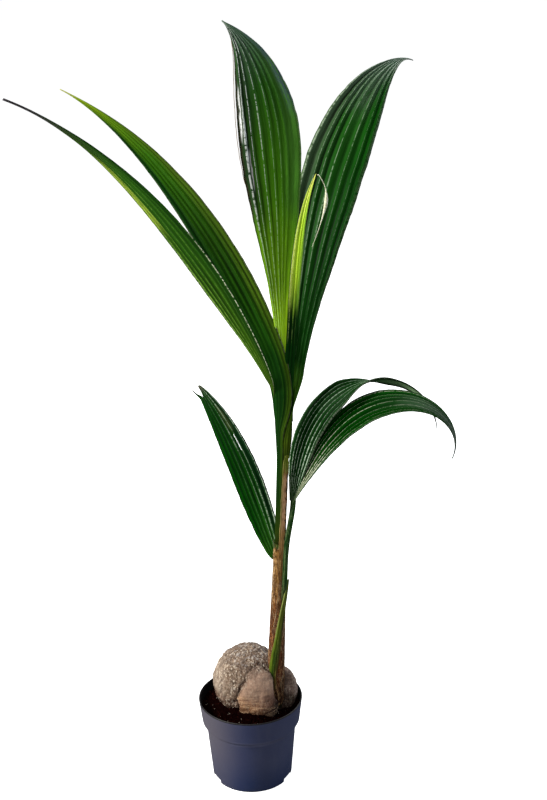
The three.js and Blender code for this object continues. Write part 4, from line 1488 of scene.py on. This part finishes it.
def course(g, given, share):
    """Direction of a frond's middle line at a share of its length, and the level line across it."""
    left = g.minus(1.0, share)
    heading = g.math("RADIANS", g.times_plus(given["Swing"], share, given["Heading"]))
    turned = g.between(g.math("POWER", share, given["Bend"]), given["Rise"], given["Fall"])
    neck = g.times(given["Neck"], g.math("POWER", left, NECK_SHARPNESS))
    pitch = g.math("RADIANS", g.plus(turned, neck))
    flat = g.math("COSINE", pitch)
    cosine = g.math("COSINE", heading)
    sine = g.math("SINE", heading)
    along = g.xyz(g.times(flat, cosine), g.times(flat, sine), g.math("SINE", pitch))
    level = g.xyz(g.times(sine, -1.0), cosine, 0.0)
    return along, level


def half_width(g, given, share):
    left = g.minus(1.0, share)
    widest = g.math("DIVIDE", given["Swell"], g.plus(given["Swell"], given["Close"]))
    opening = g.math("POWER", g.math("DIVIDE", share, widest), given["Swell"])
    closing = g.math("POWER", g.math("DIVIDE", left, g.minus(1.0, widest)), given["Close"])
    blade = g.times(given["Half Width"], g.times(opening, closing))
    foot = g.times(given["Base"], g.math("POWER", left, 4.0))
    return g.plus(blade, foot, given["Tip Width"])


def wrapped_place(g, given, share, across, lift):
    """Where a blade's foot lies while it still clasps the stem's flaring top."""
    height = g.times_plus(share, given["Length"], given["Wrap Foot"])
    lowered = g.at_least(g.times_plus(share, -1 / WRAP_DROP_END, 1.0), 0.0)
    height = g.minus(height, g.times(given["Wrap Drop"], lowered))
    low, high = STEM_FOOT * MM, STEM_TOP * MM
    up = g.value("ShaderNodeMapRange", height, low[2], high[2], 0.0, 1.0, clamp=False)
    middle = g.vector("ADD", tuple(low), g.vector("SCALE", tuple(high - low), up))
    flare = g.at_least(g.math("DIVIDE", g.minus(up, STEM_FLARE), 1 - STEM_FLARE), 0.0)
    grown = (STEM_TOP_RADIUS - STEM_WAIST_RADIUS) * MM
    radius = g.times_plus(g.math("POWER", flare, STEM_FLARE_POWER), grown, STEM_WAIST_RADIUS * MM)
    stand = g.times(given["Wrap Lift"], g.ease(share, 0.0, 0.05, 0.3, 1.0))
    radius = g.plus(radius, stand, lift)
    open_share = g.ease(share, given["Wrap Opens"], given["Wrap Opened"])
    spread = g.times(given["Wrap Spread"], g.between(open_share, given["Wrap Closed"], 1.0))
    turn = g.times(given["Wrap Twist"], g.minus(1.0, open_share))
    bearing = g.plus(given["Wrap Bearing"], turn, g.times(across, spread))
    bearing = g.math("RADIANS", bearing)
    out = g.xyz(g.math("COSINE", bearing), g.math("SINE", bearing), 0.0)
    return g.vector("ADD", middle, g.vector("SCALE", out, radius))


def travelled(g, given, share):
    """How far a frond's middle line has come from its foot: its course, summed up row by row."""
    row = g.math("ROUND", g.times(share, given["Along"]))
    before = g.at_least(g.math("DIVIDE", g.minus(row, 0.5), given["Along"]), 0.0)
    moving = g.math("GREATER_THAN", row, 0.5)
    stride = g.times(g.math("DIVIDE", given["Length"], given["Along"]), moving)
    step = g.vector("SCALE", course(g, given, before)[0], stride)
    per_column = g.plus(given["Along"], 1.0)
    column = g.math("FLOOR", g.math("DIVIDE", g.plus(g.value("GeometryNodeInputIndex"), 0.5), per_column))
    return g.node(
        "GeometryNodeAccumulateField", {"Value": step, "Group ID": column}, data_type="FLOAT_VECTOR"
    ).outputs["Leading"]


def side_and_face(g, given, share):
    """The direction across a blade and the one that it faces, rolled and twisted."""
    along, level = course(g, given, share)
    roll = g.between(share, given["Foot Roll"], given["Tip Roll"])
    twist = g.times(given["Twist"], g.ease(share, given["Twist Start"], given["Twist End"]))
    roll = g.math("RADIANS", g.plus(roll, twist))
    upright = g.vector("CROSS_PRODUCT", along, level)
    side = g.vector("SCALE", level, g.math("COSINE", roll))
    side = g.vector("ADD", side, g.vector("SCALE", upright, g.math("SINE", roll)))
    return side, g.vector("CROSS_PRODUCT", along, side)


def reach_across(g, given, share, across, width):
    """How far to the side a spot lies: up to a ragged edge, and further on the prong of a forked tip."""
    ragged_place = g.xyz(g.times(share, 16.0), g.math("SIGN", across), given["Seed"])
    ragged = g.times_plus(g.noise(ragged_place, 1.0, 4.0, 0.7), 0.14, 0.93)
    forked = g.at_least(g.minus(share, g.minus(1.0, given["Fork"])), 0.0)
    outer = g.ease(across, given["Fork Place"], g.plus(given["Fork Place"], 0.15))
    return g.plus(g.times(across, width, ragged), g.times(forked, outer, given["Prong Out"]))


def pleat_height(g, given, fold, width):
    """Height of the folds, whose shape is between a sharp and a rounded one."""
    sharp = g.math("ABSOLUTE", g.times_plus(g.math("FRACT", fold), 2.0, -1.0))
    sharp = g.times_plus(sharp, -2.0, 1.0)
    rounded = g.math("SINE", g.times(sharp, math.pi / 2))
    crease = g.between(0.3, sharp, rounded)
    return g.math("DIVIDE", g.times(crease, given["Pleat Depth"], width), given["Pleats"])


def cup_and_wave(g, given, share, across, width):
    """How far the blade curls up towards its edges, and how far it waves."""
    curl = g.times(given["Cup"], width, g.times(across, across))
    wave_place = g.xyz(g.times(share, 5.0), g.times(across, 0.7), given["Seed"])
    wave = g.minus(g.noise(wave_place, 1.0, 2.0), 0.5)
    return curl, g.times(wave, given["Waves"], g.ease(share, 0.1, 0.4))


def torn_out(g, given):
    """Where a blade is missing: in its slit, and in the notch of a forked tip."""
    share = g.named("share")
    across = g.named("across")
    slit_share = g.value("ShaderNodeMapRange", share, given["Slit Start"], given["Slit End"], 0.0, 1.0)
    middle = g.times_plus(slit_share, 2.0, -1.0)
    open_width = g.times(given["Slit Width"], g.minus(1.0, g.times(middle, middle)))
    slit = g.math("LESS_THAN", g.away(across, given["Slit Place"]), open_width)
    prong = g.minus(share, g.minus(1.0, given["Fork"]))
    notch = g.math("LESS_THAN", g.away(across, given["Fork Place"]), g.times(prong, 6.0))
    return g.at_least(slit, notch)


def build_frond():
    """One pleated blade: a grid that is laid along the frond's course, folded, cupped and waved."""
    g, given, result = new_group("frond_blade", "GeometryNodeTree", FROND_INPUTS, [("Blade", "Geometry")])
    grid = g.node(
        "GeometryNodeMeshGrid",
        {"Size X": 1.0, "Size Y": 1.0, "Vertices X": g.plus(given["Across"], 1.0),
         "Vertices Y": g.plus(given["Along"], 1.0)},
    ).outputs
    spot = g.split(g.value("GeometryNodeInputPosition"))
    across = g.times(spot["X"], 2.0)
    share = g.at_most(g.at_least(g.plus(spot["Y"], 0.5), 0.0), 1.0)
    uneven_place = g.xyz(g.times(spot["X"], 3.0), 0.0, given["Seed"])
    uneven = g.times(g.minus(g.noise(uneven_place, 1.0, 1.0), 0.5), PLEAT_UNEVENNESS)
    fold = g.times(g.plus(spot["X"], 0.5, uneven), given["Pleats"])

    width = half_width(g, given, share)
    side, face = side_and_face(g, given, share)
    pleat = pleat_height(g, given, fold, width)
    lift = g.plus(pleat, *cup_and_wave(g, given, share, across, width))
    place = g.vector("ADD", given["Foot"], travelled(g, given, share))
    place = g.vector("ADD", place, g.vector("SCALE", side, reach_across(g, given, share, across, width)))
    place = g.vector("ADD", place, g.vector("SCALE", face, lift))
    wrap_length = g.times(g.math("ABSOLUTE", given["Wrap End"]), 0.6)
    free = g.ease(share, g.minus(given["Wrap End"], wrap_length), given["Wrap End"])
    clasping = wrapped_place(g, given, share, across, g.times(pleat, 0.5))
    place = g.value("ShaderNodeMix", free, clasping, place, data_type="VECTOR")

    blade = g.keep(grid["Mesh"], "UVMap", grid["UV Map"], "FLOAT2", "CORNER")
    for name, field in (("share", share), ("across", across), ("fold", fold)):
        blade = g.keep(blade, name, field)
    blade = g.value("GeometryNodeSetPosition", blade, None, place)
    blade = g.value("GeometryNodeDeleteGeometry", blade, torn_out(g, given), domain="FACE")
    g.feed(result["Blade"], g.finish(blade, given["Finish"]))
    return g.tree


FROND = build_frond()


def frond_values(name):
    """A frond's values under the names of its tree's inputs, with lengths in metres."""
    frond = {**FROND_DEFAULTS, **FRONDS[name]}
    wrap = {**WRAP_DEFAULTS, **frond.pop("wrap")}
    frond.update({"wrap_" + key: value for key, value in wrap.items()})
    values = {}
    for key, value in frond.items():
        if key in FROND_PARTS:
            values.update(zip(FROND_PARTS[key], value))
        else:
            values[key.replace("_", " ").title()] = value
    for label in FROND_LENGTHS:
        values[label] = (np.array(values[label]) * MM).tolist()
    return values


def make_frond(name, seed):
    """One frond lobe as a thin pleated blade; gives the points of its grid, column by column."""
    values = frond_values(name)
    values.update({
        "Across": values["Pleats"] * values["Columns"], "Along": ROWS_ALONG, "Seed": seed * SEED_STEP,
        "Finish": frond_material(name),
    })
    blade = grow(new_piece(name + "_blade", [], []), FROND, values)
    points = points_of(blade)
    thicken(blade, BLADE_THICKNESS)
    slot = "young_leaf" if name == "spear_leaf" else "leaf"
    wear(blade, slot, *BLADE_NODES.get(name, (name,)))
    return points


def make_fronds():
    """All the blades, and the dry strand that has come loose from one edge."""
    blades = {name: make_frond(name, seed) for seed, name in enumerate(FRONDS, 1)}
    edge = blades["top_frond_left"][-(ROWS_ALONG + 1):]
    strand = edge[STRAND_START:STRAND_END]
    share = np.linspace(0, 1, len(strand))
    off = np.array((-2.6, -1.5, 0.4)) * (np.sin(share * math.pi) ** 0.7)[:, None]
    brown = thread_material("dry_thread", (134, 112, 78), (84, 64, 44))
    wear(make_strands("margin_strand", [(strand + off, 0.55)], brown), "leaf")


def make_spear_thread():
    """The pale thread that hangs back from the spear's tip and ends in a narrow ribbon."""
    path = np.array((
        (130.6, -6.8, 1120), (132.5, -8, 1120.6), (134.7, -9, 1118), (137.9, -9.7, 1112.4),
        (141.8, -9.9, 1104.3), (143.8, -10, 1096.2), (144.8, -10, 1086.6), (144, -10, 1075.2),
        (140.7, -9.8, 1060.7), (134.9, -9.4, 1041.2), (128.3, -9, 1021.6), (120.9, -8.6, 1003.6),
    ))
    steps = np.linspace(0, len(path) - 1, 60)
    fine = np.stack([np.interp(steps, np.arange(len(path)), path[:, i]) for i in range(3)], 1)
    for _ in range(6):
        fine[1:-1] = (fine[:-2] + 2 * fine[1:-1] + fine[2:]) / 4
    share = np.linspace(0, 1, len(fine))
    girth = 0.45 + 2.7 * np.exp(-((share - 0.62) / 0.13) ** 2) - 0.15 * smooth(share, 0.85, 1)
    cream = thread_material("cream_thread", (240, 240, 222), (196, 194, 150))
    wear(make_strands("spear_thread", [(fine, girth)], cream, 6), "young_leaf")


# Camera, light and floor

def make_camera():
    camera = bpy.data.objects.new("camera", bpy.data.cameras.new("camera"))
    camera.data.lens = CAMERA_LENS
    camera.data.sensor_width = SENSOR_WIDTH
    camera.data.clip_end = 200
    pitch = math.radians(CAMERA_PITCH)
    roll = math.radians(CAMERA_ROLL)
    right = Vector((1, 0, 0))
    up = Vector((0, math.sin(pitch), math.cos(pitch)))
    back = Vector((0, -math.cos(pitch), math.sin(pitch)))
    rolled = right * math.cos(roll) - up * math.sin(roll)
    upright = up * math.cos(roll) + right * math.sin(roll)
    turn = Matrix((rolled, upright, back)).transposed().to_4x4()
    camera.matrix_world = Matrix.Translation(CAMERA_PLACE) @ turn
    scene.collection.objects.link(camera)
    scene.camera = camera
    scene.view_settings.view_transform = "Standard"


def make_lights():
    """The lamps, and a sky that is white behind the palm and dim on it."""
    for name, place, aim, size, power, colour in LIGHTS:
        light = bpy.data.objects.new(name, bpy.data.lights.new(name, "AREA"))
        light.data.size = size
        light.data.energy = power
        light.data.color = colour
        light.location = place
        light.rotation_euler = (Vector(aim) - Vector(place)).to_track_quat("-Z", "Y").to_euler()
        scene.collection.objects.link(light)

    world = bpy.data.worlds.new("studio")
    world.use_nodes = True
    sky = Graph(world.node_tree)
    seen = sky.node("ShaderNodeLightPath").outputs["Is Camera Ray"]
    backdrop = world.node_tree.nodes["Background"].inputs
    sky.feed(backdrop["Color"], sky.mix(seen, (0.92, 0.96, 1, 1), (1, 1, 1, 1)))
    sky.feed(backdrop["Strength"], sky.between(seen, 0.17, 1.0))
    scene.world = world


def make_floor():
    material, g, shader = new_material("pale_floor", 0.9, 0.0)
    seen = g.node("ShaderNodeLightPath").outputs["Is Camera Ray"]
    soft = g.noise(object_place(g), 2.0, 2.0)
    pale = g.mix(soft, eye(250, 250, 249), eye(254, 254, 254))
    g.feed(shader["Base Color"], g.mix(seen, eye(130, 130, 130), pale))
    shader["Emission Color"].default_value = (1, 1, 1, 1)
    g.feed(shader["Emission Strength"], g.times(seen, 0.85))
    half = FLOOR_HALF
    corners = [(-half, -half, 0), (half, -half, 0), (half, half, 0), (-half, half, 0)]
    new_piece("floor", corners, [(0, 1, 2, 3)], material)


make_camera()
make_lights()
make_floor()
make_pot(pot_material())
make_soil(soil_material(), pale_bits_material())
make_nut(husk_material(), thread_material("husk_fibre", (196, 172, 148), (120, 92, 72)))
make_stem(bark_material("stem_finish"))
make_sheath(bark_material("sheath_finish"))
make_sheath_threads(
    thread_material("brown_fibre", (140, 96, 58), (70, 40, 24)),
    thread_material("pale_fibre", (206, 184, 146), (150, 120, 84)),
)
make_strip(bark_material("dry_strip_finish"))
make_spike(bark_material("spike_finish"))
make_stalk(bark_material("stalk_finish"))
make_fronds()
make_spear_thread()
